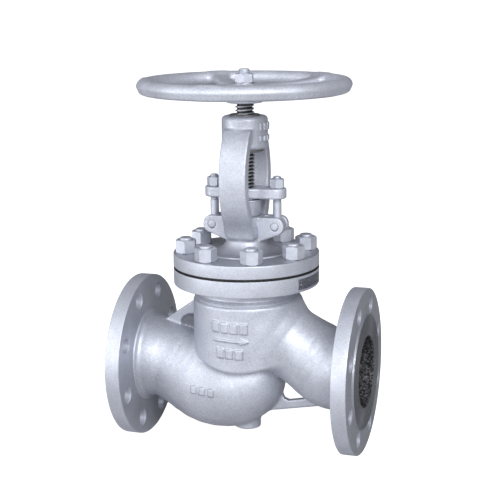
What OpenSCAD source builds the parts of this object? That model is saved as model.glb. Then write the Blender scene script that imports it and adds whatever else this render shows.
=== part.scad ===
// Flanged globe valve with a bolted bonnet, an outside yoke and a rising, turning stem.
// Millimetres, +Z up along the stem, +X along the flow.
// The origin is the centre of the inlet flange's raised face.

/* [Pipe flanges] */
// Distance between the two raised faces
face_to_face = 350; // [346:1:360]
// Outside diameter of each pipe flange
flange_d = 235; // [230:1:240]
// Thickness of each pipe flange, raised face included
flange_t = 24; // [22:1:28]
// Diameter of the raised face
raised_face_d = 162; // [155:1:165]
// Height of the raised face
raised_face_h = 3; // [2:0.5:4]
// Diameter of the circle through the pipe flange holes
pipe_bolt_circle_d = 190; // [186:1:194]
// Diameter of each pipe flange hole
pipe_bolt_hole_d = 22; // [18:1:24]
// Number of holes in each pipe flange
pipe_bolt_count = 8; // [8]
// Diameter of the flow bore
bore_d = 100; // [98:1:102]
// Outside diameter of the neck behind each pipe flange
pipe_neck_d = 120; // [116:1:126]

/* [Body] */
// Outside diameter of the upper chamber
chamber_d = 152; // [148:1:156]
// Inside diameter of the upper chamber
chamber_bore_d = 132; // [128:1:134]
// Height of the chamber floor above the pipe axis
chamber_floor_z = 20; // [18:1:22]
// Diameter of the round bowl under the seat
bowl_d = 132; // [128:1:134]
// Thickness of the two stiffening webs
web_t = 9; // [7:1:12]
// Diameter of the boss under the body
boss_d = 38; // [30:1:42]

/* [Bonnet joint] */
// Diameter of the body flange and of the bonnet flange
joint_flange_d = 206; // [200:1:210]
// Height of the underside of the body flange
joint_bottom_z = 120; // [116:1:122]
// Height of the top of the body flange
joint_top_z = 143.2; // [140:0.1:144]
// Thickness of the gasket
gasket_t = 2.6; // [1.5:0.1:3]
// Height of the top of the bonnet flange
bonnet_flange_top_z = 164.3; // [162:0.1:166]
// Diameter of the circle through the bonnet studs
stud_circle_d = 170; // [166:1:174]
// Number of bonnet studs
stud_count = 8; // [8]
// Diameter of each bonnet stud
stud_d = 18; // [16:1:18]
// Width across the flats of a bonnet nut
stud_nut_af = 27; // [24:1:28]
// Height of a bonnet nut
stud_nut_h = 18.5; // [15:0.5:19]

/* [Bonnet and yoke] */
// Diameter of the neck round the stuffing box
neck_d = 54; // [52:1:58]
// Height of the top of the stuffing box
box_top_z = 215; // [213:1:217]
// Diameter of the stuffing box
box_d = 38; // [36:1:39]
// Width of each yoke arm
arm_w = 40; // [34:1:42]
// Thickness of each yoke arm
arm_t = 15; // [12:1:16]
// Diameter of the hub on top of the yoke
yoke_hub_d = 64; // [60:1:66]
// Height of the underside of the yoke hub
yoke_hub_bottom_z = 309.5; // [306:0.5:312]
// Height of the top of the yoke hub
yoke_hub_top_z = 355; // [350:1:357]

/* [Gland] */
// Distance from the stem axis to each eye bolt
eye_bolt_x = 46; // [45:0.5:48]
// Diameter of each eye bolt
eye_bolt_d = 12; // [10:1:12]
// Height of the pins that hold the eye bolts
eye_pin_z = 203; // [202:0.5:204]
// Diameter of each pin
eye_pin_d = 10.5; // [9:0.5:11]
// Distance between the outer faces of a pair of ears
ear_span = 31; // [29:1:33]
// Distance between the inner faces of a pair of ears
ear_gap = 13; // [12.8:0.1:14]
// Height of the underside of the gland flange
gland_flange_z = 241; // [239:0.5:243]
// Thickness of the gland flange
gland_flange_t = 14.5; // [12:0.5:15]
// Length of the gland flange
gland_flange_l = 118; // [114:1:120]
// Width of the gland flange
gland_flange_w = 32; // [31:1:32]
// Width across the flats of a gland nut
gland_nut_af = 18; // [17:1:19]

/* [Stem and disc] */
// Diameter of the stem and of its thread's crests
stem_d = 26; // [26]
// Diameter of the opening in the seat ring
seat_d = 98; // [94:1:98]
// Distance that the disc rises from shut to open
lift = 35; // [25:1:35]
// Height of the top of the stem
stem_top_z = 419; // [417:1:422]

/* [Handwheel] */
// Diameter of the middle of the rim
wheel_d = 276; // [250:2:300]
// Diameter of the rim's round section
rim_d = 20.8; // [18:0.2:24]
// Height of the middle of the rim
rim_z = 396.5; // [395:0.5:398]
// Number of spokes
spoke_count = 5; // [5]
// Width of each spoke
spoke_w = 23; // [18:1:26]
// Diameter of the wheel's hub
wheel_hub_d = 58; // [54:1:60]
// Height of the underside of the wheel's hub
wheel_hub_z = 372.5; // [371:0.5:374]

/* [Hidden] */
$fn = 64;
hull_fn = 32;
overlap = 1;
slide_gap = 0.3;
fit_gap = 0.05;

// Pipe flange planes, measured from the stem axis
stem_x = face_to_face / 2;
rim_face_x = stem_x - raised_face_h;
flange_back_x = stem_x - flange_t;
half_hole_angle = 180 / pipe_bolt_count;
neck_r = pipe_neck_d / 2;
bore_r = bore_d / 2;

// Body
chamber_r = chamber_d / 2;
chamber_shoulder_z = 98;
chamber_shoulder_r = 5;
chamber_base_z = -10;
chamber_base_r = 28;
collar_r = 71;
bowl_r = bowl_d / 2;
bowl_left = [-60, -33];
bowl_middle = [-22, -26];
bowl_right = [-10, -1];
inlet_shoulder = [-122, 6];
inlet_shoulder_r = 44;
inlet_foot = [-70, -38];
inlet_foot_r = 56;
bowl_bore_r = 42;
bowl_bore_left = [-62, -48];
bowl_bore_middle = [-18, -44];
bowl_bore_right = [2, -24];
bowl_bore_spread = 12;
outlet_throat = [68, 30];
outlet_throat_r = 64;
outlet_bore_throat = [66, 38];
outlet_bore_throat_r = 46;
boss_bottom_z = -97;
inlet_bore_end_x = 122;
outlet_bore_end_x = 128;
// A hull's polygon drawn round the bore, so that no flat side narrows the bore's end
bore_relief_r = bore_r / cos(180 / hull_fn);

// Seat
seat_r = seat_d / 2;
seat_ring_r = 57;
seat_lip_r = 60;
seat_pocket_z = chamber_floor_z - 12;
seat_top_z = chamber_floor_z + 6;
seat_cone = 4;
seat_boss_r = 64;

// Bonnet joint
joint_r = joint_flange_d / 2;
bonnet_z = joint_top_z + gasket_t;
spigot_r = chamber_bore_d / 2 - 0.4;
spigot_z = bonnet_z - 8;
stud_bottom_z = joint_bottom_z + 4;
stud_nut_top_z = bonnet_flange_top_z + stud_nut_h;
stud_top_z = stud_nut_top_z + 3.5;
first_stud_angle = 180 / stud_count;

// Bonnet neck
pad_r = 61;
pad_h = 2;
neck_fillet = 18;
neck_waist_r = neck_d / 2;
neck_root_z = bonnet_flange_top_z + pad_h;
stem_bore_r = stem_d / 2 + 1;
back_seat_bottom_z = 128;
back_seat_top_z = 150;
back_seat_r = 21;
back_seat_boss_r = 32;
box_r = box_d / 2;
box_bottom_z = 172;

// Yoke: each arm is a stretch of a ring whose centre lies beyond the stem
arm_centre = [-53, 268.7];
arm_outer_r = 110;
arm_foot_z = 190;
arm_head_z = 335;
hub_r = yoke_hub_d / 2;
hub_round = 5;
bush_r = 21;
bush_lip_r = 26;
bush_lip_t = 3.5;
bush_top_z = yoke_hub_top_z + 2;
lock_screw_d = 6;
lock_screw_z = 345;
lock_screw_angle = 150;

// Gland
ear_r = 13;
packing_count = 5;
packing_pitch = 6.4;
packing_h = 6.2;
packing_washer_h = 2.3;
packing_z = box_bottom_z + packing_washer_h + 0.2;
follower_bottom_z = packing_z + packing_count * packing_pitch + slide_gap;
follower_shoulder_z = box_top_z + 2;
follower_r = 22;
follower_lip_r = 23;
follower_lip_h = 3;
gland_middle_r = 22;
gland_end_r = 15;
eye_r = 11.5;
eye_t = ear_gap - 0.6;
eye_bolt_top_z = 272;
gland_nut_z = gland_flange_z + gland_flange_t + slide_gap;
gland_nut_h = 12.5;

// Stem and disc
stem_r = stem_d / 2;
stem_bottom_z = 34.3;
groove_z = 38;
groove_h = 5;
groove_r = 10;
back_seat_collar_z = back_seat_bottom_z - lift - 0.5;
back_seat_collar_r = 19;
stem_square = 18;
stem_shoulder_z = wheel_hub_z + 3;
stem_end_r = 8;
stem_end_z = 397;
disc_r = 56;
disc_bottom_z = 18;
disc_flange_z = seat_top_z + slide_gap;
disc_flange_t = 9.7;
disc_hub_r = 32;
disc_hub_top_z = 56;
pocket_r = 19;
pocket_z = 30;
nut_thread_r = 24;
nut_thread_z = 43.2;
disc_nut_af = 56;
disc_nut_top_z = 64;
split_cut = 1.2;

// Handwheel
wheel_r = wheel_d / 2;
first_spoke_angle = 52.5;
spoke_t = 12;
spoke_rise = 7;
spoke_bend_r = 80;
wheel_hub_top_z = 397;
washer_r = 15;
washer_t = 3;
top_nut_af = 24;
top_nut_h = 12.5;

// Nameplate on the rim of the body flange
plate_angle = -13;
plate_sweep = 32;
plate_z = 125;
plate_h = 13;
plate_t = 1.2;
rivet_r = 1.6;
rivet_proud = 0.8;

paint = "lightsteelblue";
steel = "silver";
dark_steel = "dimgray";
brass = "goldenrod";
graphite = "darkslategray";

// Points of an arc, for use in a polygon
function arc_points(centre, r, from, to, steps = 8) = [
    for (i = [0 : steps])
        let (a = from + (to - from) * i / steps)
        [centre.x + r * cos(a), centre.y + r * sin(a)]
];

module at_stem() {
    translate([stem_x, 0, 0]) children();
}

// Runs a shape's own Z axis along +X, starting at x
module along_x(x) {
    translate([x, 0, 0]) rotate([0, 90, 0]) children();
}

// Copies a shape round the stem axis
module around(count, first) {
    for (i = [0 : count - 1]) rotate([0, 0, first + i * 360 / count]) children();
}

module ring(outer_r, inner_r, h) {
    difference() {
        cylinder(r = outer_r, h = h);
        translate([0, 0, -overlap]) cylinder(r = inner_r, h = h + 2 * overlap);
    }
}

// Ball at [x, z], or two of them spread apart across the plane of symmetry
module ball(place, r, spread = 0) {
    for (side = spread > 0 ? [-1, 1] : [0])
        translate([place.x, side * spread, place.y]) sphere(r = r, $fn = hull_fn);
}

// Plate of thickness t in the plane of symmetry, from an [x, z] outline
module web(outline) {
    translate([0, web_t / 2, 0]) rotate([90, 0, 0]) linear_extrude(web_t) polygon(outline);
}

// Chamfered hexagonal nut with a plain bore
module hex_nut(af, h, hole_r) {
    corner_r = af / sqrt(3);
    chamfer = corner_r - af / 2;
    difference() {
        intersection() {
            cylinder(r = corner_r, h = h, $fn = 6);
            rotate_extrude() polygon([
                [0, 0], [af / 2, 0], [corner_r + 0.1, chamfer * 0.6],
                [corner_r + 0.1, h - chamfer * 0.6], [af / 2, h], [0, h]
            ]);
        }
        translate([0, 0, -overlap]) cylinder(r = hole_r, h = h + 2 * overlap);
    }
}

// Round bar with a chamfered top
module stud(r, bottom_z, top_z) {
    chamfer = r / 4;
    rotate_extrude() polygon([
        [0, bottom_z], [r, bottom_z], [r, top_z - chamfer], [r - chamfer, top_z], [0, top_z]
    ]);
}

// One pipe flange, standing on its back face, with its bolt holes
module pipe_flange() {
    rim_t = flange_t - raised_face_h;
    cylinder(r = flange_d / 2, h = rim_t);
    cylinder(r = raised_face_d / 2, h = flange_t);
}

module pipe_flange_holes() {
    around(pipe_bolt_count, half_hole_angle)
        translate([pipe_bolt_circle_d / 2, 0, -overlap])
            cylinder(r = pipe_bolt_hole_d / 2, h = flange_t + 2 * overlap);
}

// Chamber, collar and joint flange as one turned shape
module chamber_outside() {
    shoulder = [chamber_r - chamber_shoulder_r, chamber_shoulder_z - chamber_shoulder_r];
    base = [chamber_r - chamber_base_r, chamber_base_z + chamber_base_r];
    rotate_extrude() polygon(concat(
        [[0, chamber_base_z]],
        arc_points(base, chamber_base_r, -90, 0),
        arc_points(shoulder, chamber_shoulder_r, 0, 90),
        [[collar_r, chamber_shoulder_z], [collar_r, joint_bottom_z],
         [joint_r, joint_bottom_z], [joint_r, joint_top_z], [0, joint_top_z]]
    ));
}

module body_outside() {
    chamber_outside();
    // Inlet neck running down into the bowl
    hull() {
        along_x(-flange_back_x - overlap) cylinder(r = neck_r, h = 20, $fn = hull_fn);
        ball(inlet_shoulder, inlet_shoulder_r);
        ball(inlet_foot, inlet_foot_r);
    }
    // Bowl under the seat
    hull() {
        ball(bowl_left, bowl_r);
        ball(bowl_middle, bowl_r);
        ball(bowl_right, bowl_r);
    }
    // Outlet neck falling from the chamber to the pipe axis
    hull() {
        ball(outlet_throat, outlet_throat_r);
        along_x(flange_back_x - 8) cylinder(r = neck_r, h = 8 + overlap, $fn = hull_fn);
    }
    translate([0, 0, boss_bottom_z]) cylinder(r = boss_d / 2, h = 40);
    web([[-130, 50], [-74, 90.5], [-70, 78], [-82, 68], [-94, 60], [-102, 51], [-104, 44]]);
    web([[32, -70.5], [125, -56], [112, -48], [84, -46], [79, -50], [60, -53], [54, -50],
         [50, -42], [40, -40]]);
    along_x(flange_back_x) pipe_flange();
    mirror([1, 0, 0]) along_x(flange_back_x) pipe_flange();
}

module inlet_passage() {
    along_x(-stem_x - overlap)
        cylinder(r = bore_r, h = stem_x - inlet_bore_end_x + overlap);
    hull() {
        along_x(-inlet_bore_end_x) cylinder(r = bore_relief_r, h = 1, $fn = hull_fn);
        ball(bowl_bore_left, bowl_bore_r, bowl_bore_spread);
    }
    hull() {
        ball(bowl_bore_left, bowl_bore_r, bowl_bore_spread);
        ball(bowl_bore_middle, bowl_bore_r, bowl_bore_spread);
        ball(bowl_bore_right, bowl_bore_r);
    }
    translate([0, 0, -8]) cylinder(r = seat_r - 2, h = 28);
}

module outlet_passage() {
    along_x(outlet_bore_end_x)
        cylinder(r = bore_r, h = stem_x - outlet_bore_end_x + overlap);
    difference() {
        hull() {
            along_x(outlet_bore_end_x - 1) cylinder(r = bore_relief_r, h = 1, $fn = hull_fn);
            ball(outlet_bore_throat, outlet_bore_throat_r);
        }
        translate([0, 0, -bore_r]) cylinder(r = seat_boss_r, h = bore_r + chamber_floor_z);
    }
}

module body() {
    color(paint) at_stem() difference() {
        body_outside();
        inlet_passage();
        outlet_passage();
        translate([0, 0, chamber_floor_z])
            cylinder(r = chamber_bore_d / 2, h = joint_top_z - chamber_floor_z + overlap);
        translate([0, 0, seat_pocket_z]) cylinder(r = seat_ring_r, h = 20);
        around(stud_count, first_stud_angle)
            translate([stud_circle_d / 2, 0, stud_bottom_z])
                cylinder(r = stud_d / 2, h = joint_top_z - stud_bottom_z + overlap);
        along_x(flange_back_x) pipe_flange_holes();
        mirror([1, 0, 0]) along_x(flange_back_x) pipe_flange_holes();
    }
}

module seat_ring() {
    color(steel) at_stem() rotate_extrude() polygon([
        [seat_r, seat_pocket_z], [seat_ring_r, seat_pocket_z], [seat_ring_r, chamber_floor_z],
        [seat_lip_r, chamber_floor_z], [seat_lip_r, seat_top_z],
        [seat_r + seat_cone, seat_top_z], [seat_r, seat_top_z - seat_cone]
    ]);
}

module body_gasket() {
    color(graphite) at_stem() difference() {
        translate([0, 0, joint_top_z]) ring(joint_r - 3, chamber_bore_d / 2 + 1, gasket_t);
        around(stud_count, first_stud_angle)
            translate([stud_circle_d / 2, 0, joint_top_z - overlap])
                cylinder(r = stud_d / 2 + 0.5, h = gasket_t + 2 * overlap);
    }
}

// Flange, register, neck and back-seat boss as one turned shape
module bonnet_outside() {
    fillet = [neck_waist_r + neck_fillet, neck_root_z + neck_fillet];
    rotate_extrude() polygon(concat(
        [[0, back_seat_bottom_z], [back_seat_boss_r, back_seat_bottom_z],
         [back_seat_boss_r, spigot_z], [spigot_r, spigot_z], [spigot_r, bonnet_z],
         [joint_r, bonnet_z], [joint_r, bonnet_flange_top_z], [pad_r, bonnet_flange_top_z],
         [pad_r, neck_root_z]],
        arc_points(fillet, neck_fillet, 270, 180),
        [[neck_waist_r, box_top_z], [0, box_top_z]]
    ));
}

// One pair of ears, on the +X side
module ears() {
    outline = [[15, 178], [25.5, 181], [eye_bolt_x + 6.5, eye_pin_z - 11.3],
               [eye_bolt_x, eye_pin_z + ear_r], [15, eye_pin_z + ear_r]];
    ear_t = (ear_span - ear_gap) / 2;
    for (side = [-1, 1])
        translate([0, side * (ear_gap + ear_t) / 2 + ear_t / 2, 0])
            rotate([90, 0, 0]) linear_extrude(ear_t) difference() {
                union() {
                    polygon(outline);
                    translate([eye_bolt_x, eye_pin_z]) circle(r = ear_r);
                }
                translate([eye_bolt_x, eye_pin_z]) circle(r = eye_pin_d / 2);
            }
}

// One yoke arm, on the +Y side, cut from a ring
module yoke_arm() {
    height = arm_head_z - arm_foot_z;
    rotate([90, 0, 90]) linear_extrude(arm_w, center = true) intersection() {
        translate(arm_centre) difference() {
            circle(r = arm_outer_r, $fn = 128);
            circle(r = arm_outer_r - arm_t, $fn = 128);
        }
        translate([10, arm_foot_z]) square([60, height]);
    }
}

module yoke_hub() {
    rotate_extrude() polygon(concat(
        [[0, yoke_hub_bottom_z], [hub_r, yoke_hub_bottom_z]],
        arc_points([hub_r - hub_round, yoke_hub_top_z - hub_round], hub_round, 0, 90, 4),
        [[0, yoke_hub_top_z]]
    ));
}

module bonnet() {
    color(paint) at_stem() difference() {
        union() {
            bonnet_outside();
            yoke_hub();
            for (side = [0, 1]) mirror([0, side, 0]) yoke_arm();
            for (side = [0, 1]) mirror([side, 0, 0]) ears();
        }
        around(stud_count, first_stud_angle)
            translate([stud_circle_d / 2, 0, bonnet_z - overlap])
                cylinder(r = stud_d / 2 + 1, h = 30);
        translate([0, 0, back_seat_bottom_z - overlap])
            cylinder(r = back_seat_r, h = back_seat_top_z - back_seat_bottom_z + overlap);
        cylinder(r = stem_bore_r, h = box_top_z);
        translate([0, 0, box_bottom_z]) cylinder(r = box_r, h = 60);
        translate([0, 0, yoke_hub_bottom_z - overlap]) cylinder(r = bush_r, h = 60);
        lock_screw_place() cylinder(r = lock_screw_d / 2, h = 30);
    }
}

module back_seat_bush() {
    inner_r = stem_r + 0.6;
    chamfer = back_seat_collar_r - inner_r;
    color(steel) at_stem() rotate_extrude() polygon([
        [inner_r, back_seat_bottom_z + chamfer], [inner_r + chamfer, back_seat_bottom_z],
        [back_seat_r, back_seat_bottom_z], [back_seat_r, back_seat_top_z],
        [inner_r, back_seat_top_z]
    ]);
}

module bonnet_studs() {
    color(steel) at_stem() around(stud_count, first_stud_angle)
        translate([stud_circle_d / 2, 0, 0]) stud(stud_d / 2, stud_bottom_z, stud_top_z);
}

module bonnet_nuts() {
    color(steel) at_stem() around(stud_count, first_stud_angle)
        translate([stud_circle_d / 2, 0, bonnet_flange_top_z])
            hex_nut(stud_nut_af, stud_nut_h, stud_d / 2);
}

module packing_washer() {
    color(steel) at_stem() translate([0, 0, box_bottom_z])
        ring(box_r, stem_bore_r, packing_washer_h);
}

module packing_rings() {
    color(graphite) at_stem() for (i = [0 : packing_count - 1])
        translate([0, 0, packing_z + i * packing_pitch])
            ring(box_r, stem_r + fit_gap, packing_h);
}

module gland_follower() {
    inner_r = stem_r + 0.4;
    lip_z = gland_flange_z - follower_lip_h;
    color(paint) at_stem() rotate_extrude() polygon([
        [inner_r, follower_bottom_z], [box_r - slide_gap, follower_bottom_z],
        [box_r - slide_gap, follower_shoulder_z], [follower_r - 1, follower_shoulder_z],
        [follower_r, lip_z], [follower_lip_r, lip_z], [follower_lip_r, gland_flange_z],
        [inner_r, gland_flange_z]
    ]);
}

module gland_flange() {
    end_x = gland_flange_l / 2 - gland_end_r;
    color(paint) at_stem() translate([0, 0, gland_flange_z])
        linear_extrude(gland_flange_t) difference() {
            union() {
                square([2 * end_x, gland_flange_w], center = true);
                for (side = [-1, 1]) translate([side * end_x, 0]) {
                    circle(r = gland_end_r);
                    square([2, gland_flange_w], center = true);
                }
                circle(r = gland_middle_r);
            }
            circle(r = stem_r + 0.6);
            for (side = [-1, 1]) translate([side * eye_bolt_x, 0]) circle(r = eye_bolt_d / 2 + 0.8);
        }
}

// side is -1 on the left and 1 on the right
module eye_bolt(side) {
    color(steel) at_stem() translate([side * eye_bolt_x, 0, 0]) difference() {
        union() {
            stud(eye_bolt_d / 2, eye_pin_z + eye_r - 3, eye_bolt_top_z);
            translate([0, eye_t / 2, eye_pin_z]) rotate([90, 0, 0])
                cylinder(r = eye_r, h = eye_t);
        }
        translate([0, ear_span, eye_pin_z]) rotate([90, 0, 0])
            cylinder(r = eye_pin_d / 2 + fit_gap, h = 2 * ear_span);
    }
}

module eye_bolt_pin(side) {
    color(steel) at_stem() translate([side * eye_bolt_x, ear_span / 2, eye_pin_z])
        rotate([90, 0, 0]) cylinder(r = eye_pin_d / 2, h = ear_span);
}

module gland_nut(side) {
    color(steel) at_stem() translate([side * eye_bolt_x, 0, gland_nut_z])
        hex_nut(gland_nut_af, gland_nut_h, eye_bolt_d / 2 + fit_gap);
}

module yoke_bush() {
    color(brass) at_stem() rotate_extrude() polygon([
        [stem_r + fit_gap, yoke_hub_bottom_z - bush_lip_t],
        [bush_lip_r, yoke_hub_bottom_z - bush_lip_t], [bush_lip_r, yoke_hub_bottom_z],
        [bush_r, yoke_hub_bottom_z], [bush_r, bush_top_z], [stem_r + fit_gap, bush_top_z]
    ]);
}

// Lays a shape's Z axis along the lock screw, starting at the bush
module lock_screw_place() {
    rotate([0, 0, lock_screw_angle]) translate([bush_r, 0, lock_screw_z])
        rotate([0, 90, 0]) children();
}

module bush_lock_screw() {
    color(dark_steel) at_stem() lock_screw_place()
        cylinder(r = lock_screw_d / 2, h = hub_r - bush_r - 0.5);
}

module stem() {
    color(dark_steel) at_stem() {
        difference() {
            union() {
                translate([0, 0, stem_bottom_z])
                    cylinder(r = stem_r, h = stem_shoulder_z - stem_bottom_z);
                translate([0, 0, back_seat_collar_z - 9])
                    cylinder(r1 = stem_r, r2 = back_seat_collar_r, h = 3);
                translate([0, 0, back_seat_collar_z - 6]) cylinder(r = back_seat_collar_r, h = 1);
                translate([0, 0, back_seat_collar_z - 5])
                    cylinder(r1 = back_seat_collar_r, r2 = stem_r, h = 5);
            }
            translate([0, 0, groove_z]) ring(stem_r + overlap, groove_r, groove_h);
        }
        translate([-stem_square / 2, -stem_square / 2, stem_shoulder_z - overlap])
            cube([stem_square, stem_square, stem_end_z - stem_shoulder_z + overlap]);
        stud(stem_end_r, stem_end_z - overlap, stem_top_z);
    }
}

// Two half rings in the groove at the foot of the stem
module stem_split_ring() {
    ring_h = groove_h - 0.4;
    color(steel) at_stem() difference() {
        translate([0, 0, groove_z + 0.2]) ring(pocket_r - 0.5, groove_r, ring_h);
        translate([-pocket_r, -split_cut / 2, groove_z - overlap])
            cube([2 * pocket_r, split_cut, groove_h + 2 * overlap]);
    }
}

module disc() {
    cone_r = seat_r + seat_cone - slide_gap;
    cone_drop = disc_flange_z - disc_bottom_z;
    disc_top_z = disc_flange_z + disc_flange_t;
    color(steel) at_stem() rotate_extrude() polygon([
        [0, disc_bottom_z], [cone_r - cone_drop, disc_bottom_z], [cone_r, disc_flange_z],
        [disc_r, disc_flange_z], [disc_r, disc_top_z], [disc_hub_r, disc_top_z],
        [disc_hub_r, disc_hub_top_z], [nut_thread_r, disc_hub_top_z],
        [nut_thread_r, nut_thread_z], [pocket_r, nut_thread_z], [pocket_r, pocket_z],
        [0, pocket_z]
    ]);
}

module disc_nut() {
    inner_r = stem_r + 1;
    color(steel) at_stem() {
        translate([0, 0, nut_thread_z])
            ring(nut_thread_r, inner_r, disc_hub_top_z - nut_thread_z + overlap);
        translate([0, 0, disc_hub_top_z])
            hex_nut(disc_nut_af, disc_nut_top_z - disc_hub_top_z, inner_r);
    }
}

module disc_thrust_pad() {
    color(dark_steel) at_stem() translate([0, 0, pocket_z])
        cylinder(r = stem_r - 1, h = stem_bottom_z - pocket_z - slide_gap);
}

// One spoke along +X: level near the hub, then rising to the rim
module spoke() {
    root_r = wheel_hub_d / 4;
    top = wheel_hub_top_z;
    translate([0, spoke_w / 2, 0]) rotate([90, 0, 0]) linear_extrude(spoke_w) polygon([
        [root_r, top - spoke_t], [spoke_bend_r, top - spoke_t],
        [wheel_r, top - spoke_t + spoke_rise], [wheel_r, top + spoke_rise],
        [spoke_bend_r, top], [root_r, top]
    ]);
}

module handwheel() {
    hub_cone_h = 12;
    color(paint) at_stem() difference() {
        union() {
            translate([0, 0, rim_z]) rotate_extrude() translate([wheel_r, 0]) circle(r = rim_d / 2);
            around(spoke_count, first_spoke_angle) spoke();
            translate([0, 0, wheel_hub_z])
                cylinder(r1 = wheel_hub_d / 2 - 4, r2 = wheel_hub_d / 2, h = hub_cone_h);
            translate([0, 0, wheel_hub_z + hub_cone_h])
                cylinder(r = wheel_hub_d / 2, h = wheel_hub_top_z - wheel_hub_z - hub_cone_h);
        }
        translate([0, 0, wheel_hub_z - overlap])
            cylinder(r = stem_r, h = stem_shoulder_z - wheel_hub_z + overlap);
        translate([-stem_square / 2, -stem_square / 2, wheel_hub_z])
            cube([stem_square, stem_square, 60]);
    }
}

module handwheel_washer() {
    color(steel) at_stem() translate([0, 0, wheel_hub_top_z])
        ring(washer_r, stem_end_r + 0.5, washer_t);
}

module handwheel_nut() {
    color(steel) at_stem() translate([0, 0, wheel_hub_top_z + washer_t])
        hex_nut(top_nut_af, top_nut_h, stem_end_r);
}

module nameplate() {
    color(dark_steel) at_stem() rotate([0, 0, plate_angle - plate_sweep / 2])
        rotate_extrude(angle = plate_sweep)
            translate([joint_r, plate_z]) square([plate_t, plate_h]);
}

module nameplate_rivets() {
    reach = plate_sweep / 2 - 2;
    color(steel) at_stem() for (side = [-1, 1])
        rotate([0, 0, plate_angle + side * reach])
            translate([joint_r + plate_t, 0, plate_z + plate_h / 2])
                rotate([0, 90, 0]) cylinder(r = rivet_r, h = rivet_proud);
}

body();
seat_ring();
body_gasket();
bonnet();
back_seat_bush();
bonnet_studs();
bonnet_nuts();
packing_washer();
packing_rings();
gland_follower();
gland_flange();
eye_bolt(-1);  // eye_bolt_left
eye_bolt(1);  // eye_bolt_right
eye_bolt_pin(-1);  // eye_bolt_pin_left
eye_bolt_pin(1);  // eye_bolt_pin_right
gland_nut(-1);  // gland_nut_left
gland_nut(1);  // gland_nut_right
yoke_bush();
bush_lock_screw();
stem();
stem_split_ring();
disc();
disc_nut();
disc_thrust_pad();
handwheel();
handwheel_washer();
handwheel_nut();
nameplate();
nameplate_rivets();
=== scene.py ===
"""Looks of the flanged globe valve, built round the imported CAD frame.

Castings are meshed from signed distance fields, so that every junction has a real fillet. Turned
pieces are revolved profiles, and threads are true helices. Lengths in this file are millimetres
from the crossing of the pipe axis and the stem axis; place() turns them into metres in the frame.
"""
import math

import bpy
import numpy as np
from mathutils import Matrix, Vector


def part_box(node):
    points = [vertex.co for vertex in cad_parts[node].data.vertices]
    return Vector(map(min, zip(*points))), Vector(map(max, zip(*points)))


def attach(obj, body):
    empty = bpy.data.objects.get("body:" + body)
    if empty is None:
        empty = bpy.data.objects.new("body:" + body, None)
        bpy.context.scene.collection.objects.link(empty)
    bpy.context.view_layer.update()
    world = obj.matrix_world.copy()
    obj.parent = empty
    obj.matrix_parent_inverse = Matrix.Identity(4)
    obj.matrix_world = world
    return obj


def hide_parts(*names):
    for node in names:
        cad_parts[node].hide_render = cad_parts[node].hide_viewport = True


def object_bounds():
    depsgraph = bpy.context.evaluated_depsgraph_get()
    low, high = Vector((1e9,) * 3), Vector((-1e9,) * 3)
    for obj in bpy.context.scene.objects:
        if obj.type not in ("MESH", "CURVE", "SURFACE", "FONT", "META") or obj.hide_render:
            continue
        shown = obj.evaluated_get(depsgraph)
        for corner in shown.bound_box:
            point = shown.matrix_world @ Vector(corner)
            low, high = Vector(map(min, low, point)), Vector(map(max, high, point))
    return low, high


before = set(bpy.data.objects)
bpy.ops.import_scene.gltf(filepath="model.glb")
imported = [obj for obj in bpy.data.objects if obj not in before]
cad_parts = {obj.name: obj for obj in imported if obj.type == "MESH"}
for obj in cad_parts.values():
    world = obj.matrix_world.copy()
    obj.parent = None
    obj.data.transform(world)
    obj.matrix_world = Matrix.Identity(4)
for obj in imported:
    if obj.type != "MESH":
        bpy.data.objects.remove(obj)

CAD_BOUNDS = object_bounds()

# ---------------- driving sizes; the first ones come from the frame
MM = 0.001


def box_mm(node):
    """A CAD node's lowest and highest corner, in millimetres from the stem axis."""
    stem = Vector((STEM_X, 0.0, 0.0))
    return [(corner - stem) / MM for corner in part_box(node)]


STEM_X = sum(corner.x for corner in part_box("body")) / 2
BODY_LOW, BODY_HIGH = box_mm("body")
FACE_X = BODY_HIGH.x
FLANGE_R = -BODY_LOW.z
BONNET_HIGH = box_mm("bonnet")[1]
WHEEL_LOW = box_mm("handwheel")[0]
STEM_LOW, STEM_HIGH = box_mm("stem")
GLAND_LOW, GLAND_HIGH = box_mm("gland_flange")
EYE_LOW, EYE_HIGH = box_mm("eye_bolt_right")

RAISED_FACE_R = 81.0
RAISED_FACE_H = 3.0
FLANGE_T = 24.0
BORE_R = 50.0
NECK_R = 59.5
PIPE_HOLES = dict(count=8, circle_r=95.0, r=11.0)

CHAMBER_R = 76.0
CHAMBER_BORE_R = 66.0
CHAMBER_FLOOR = 20.0
COLLAR_R = 70.5
COLLAR_FOOT_Z = 99.5
JOINT_R = 103.0
JOINT_BOTTOM = 120.0
JOINT_TOP = 142.7
BONNET_Z = 146.2
BONNET_TOP = 164.3
PAD_R = 61.0
PAD_H = 2.0
STUDS = dict(count=8, circle_r=85.0, r=9.0)
NUT_AF = 27.0
NUT_H = 18.5

WAIST_R = 27.0
BOX_R = 19.0
BOX_BOTTOM, BOX_TOP = 172.0, 215.0
NECK_BORE_R = 14.0
BUSH_HOLE_R = 21.2
HUB_R = 32.0
HUB_BOTTOM = 309.5
HUB_TOP = BONNET_HIGH.z
ARM_CENTRE = (-53.0, 268.7)
ARM_OUTER_R = 110.0
ARM_T = 15.0
ARM_HALF_W = 19.3
ARM_BOTTOM, ARM_TOP = 190.0, 338.0
FOOT_HALF_X = 20.0
FOOT_Y = (20.0, 30.5)
FOOT_Z = (184.0, 206.0)
YOKE_TWIST = 0.025
EYE_X = (EYE_LOW.x + EYE_HIGH.x) / 2
EYE_Z = 203.0
EAR_R = 13.0
EAR_Y = (6.5, 15.1)
PIN_R = 5.25
STEM_R = 13.0
THREAD_LEAD = 5.0
THREAD_BOTTOM = 231.5
SHOULDER_Z = 375.0


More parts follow.
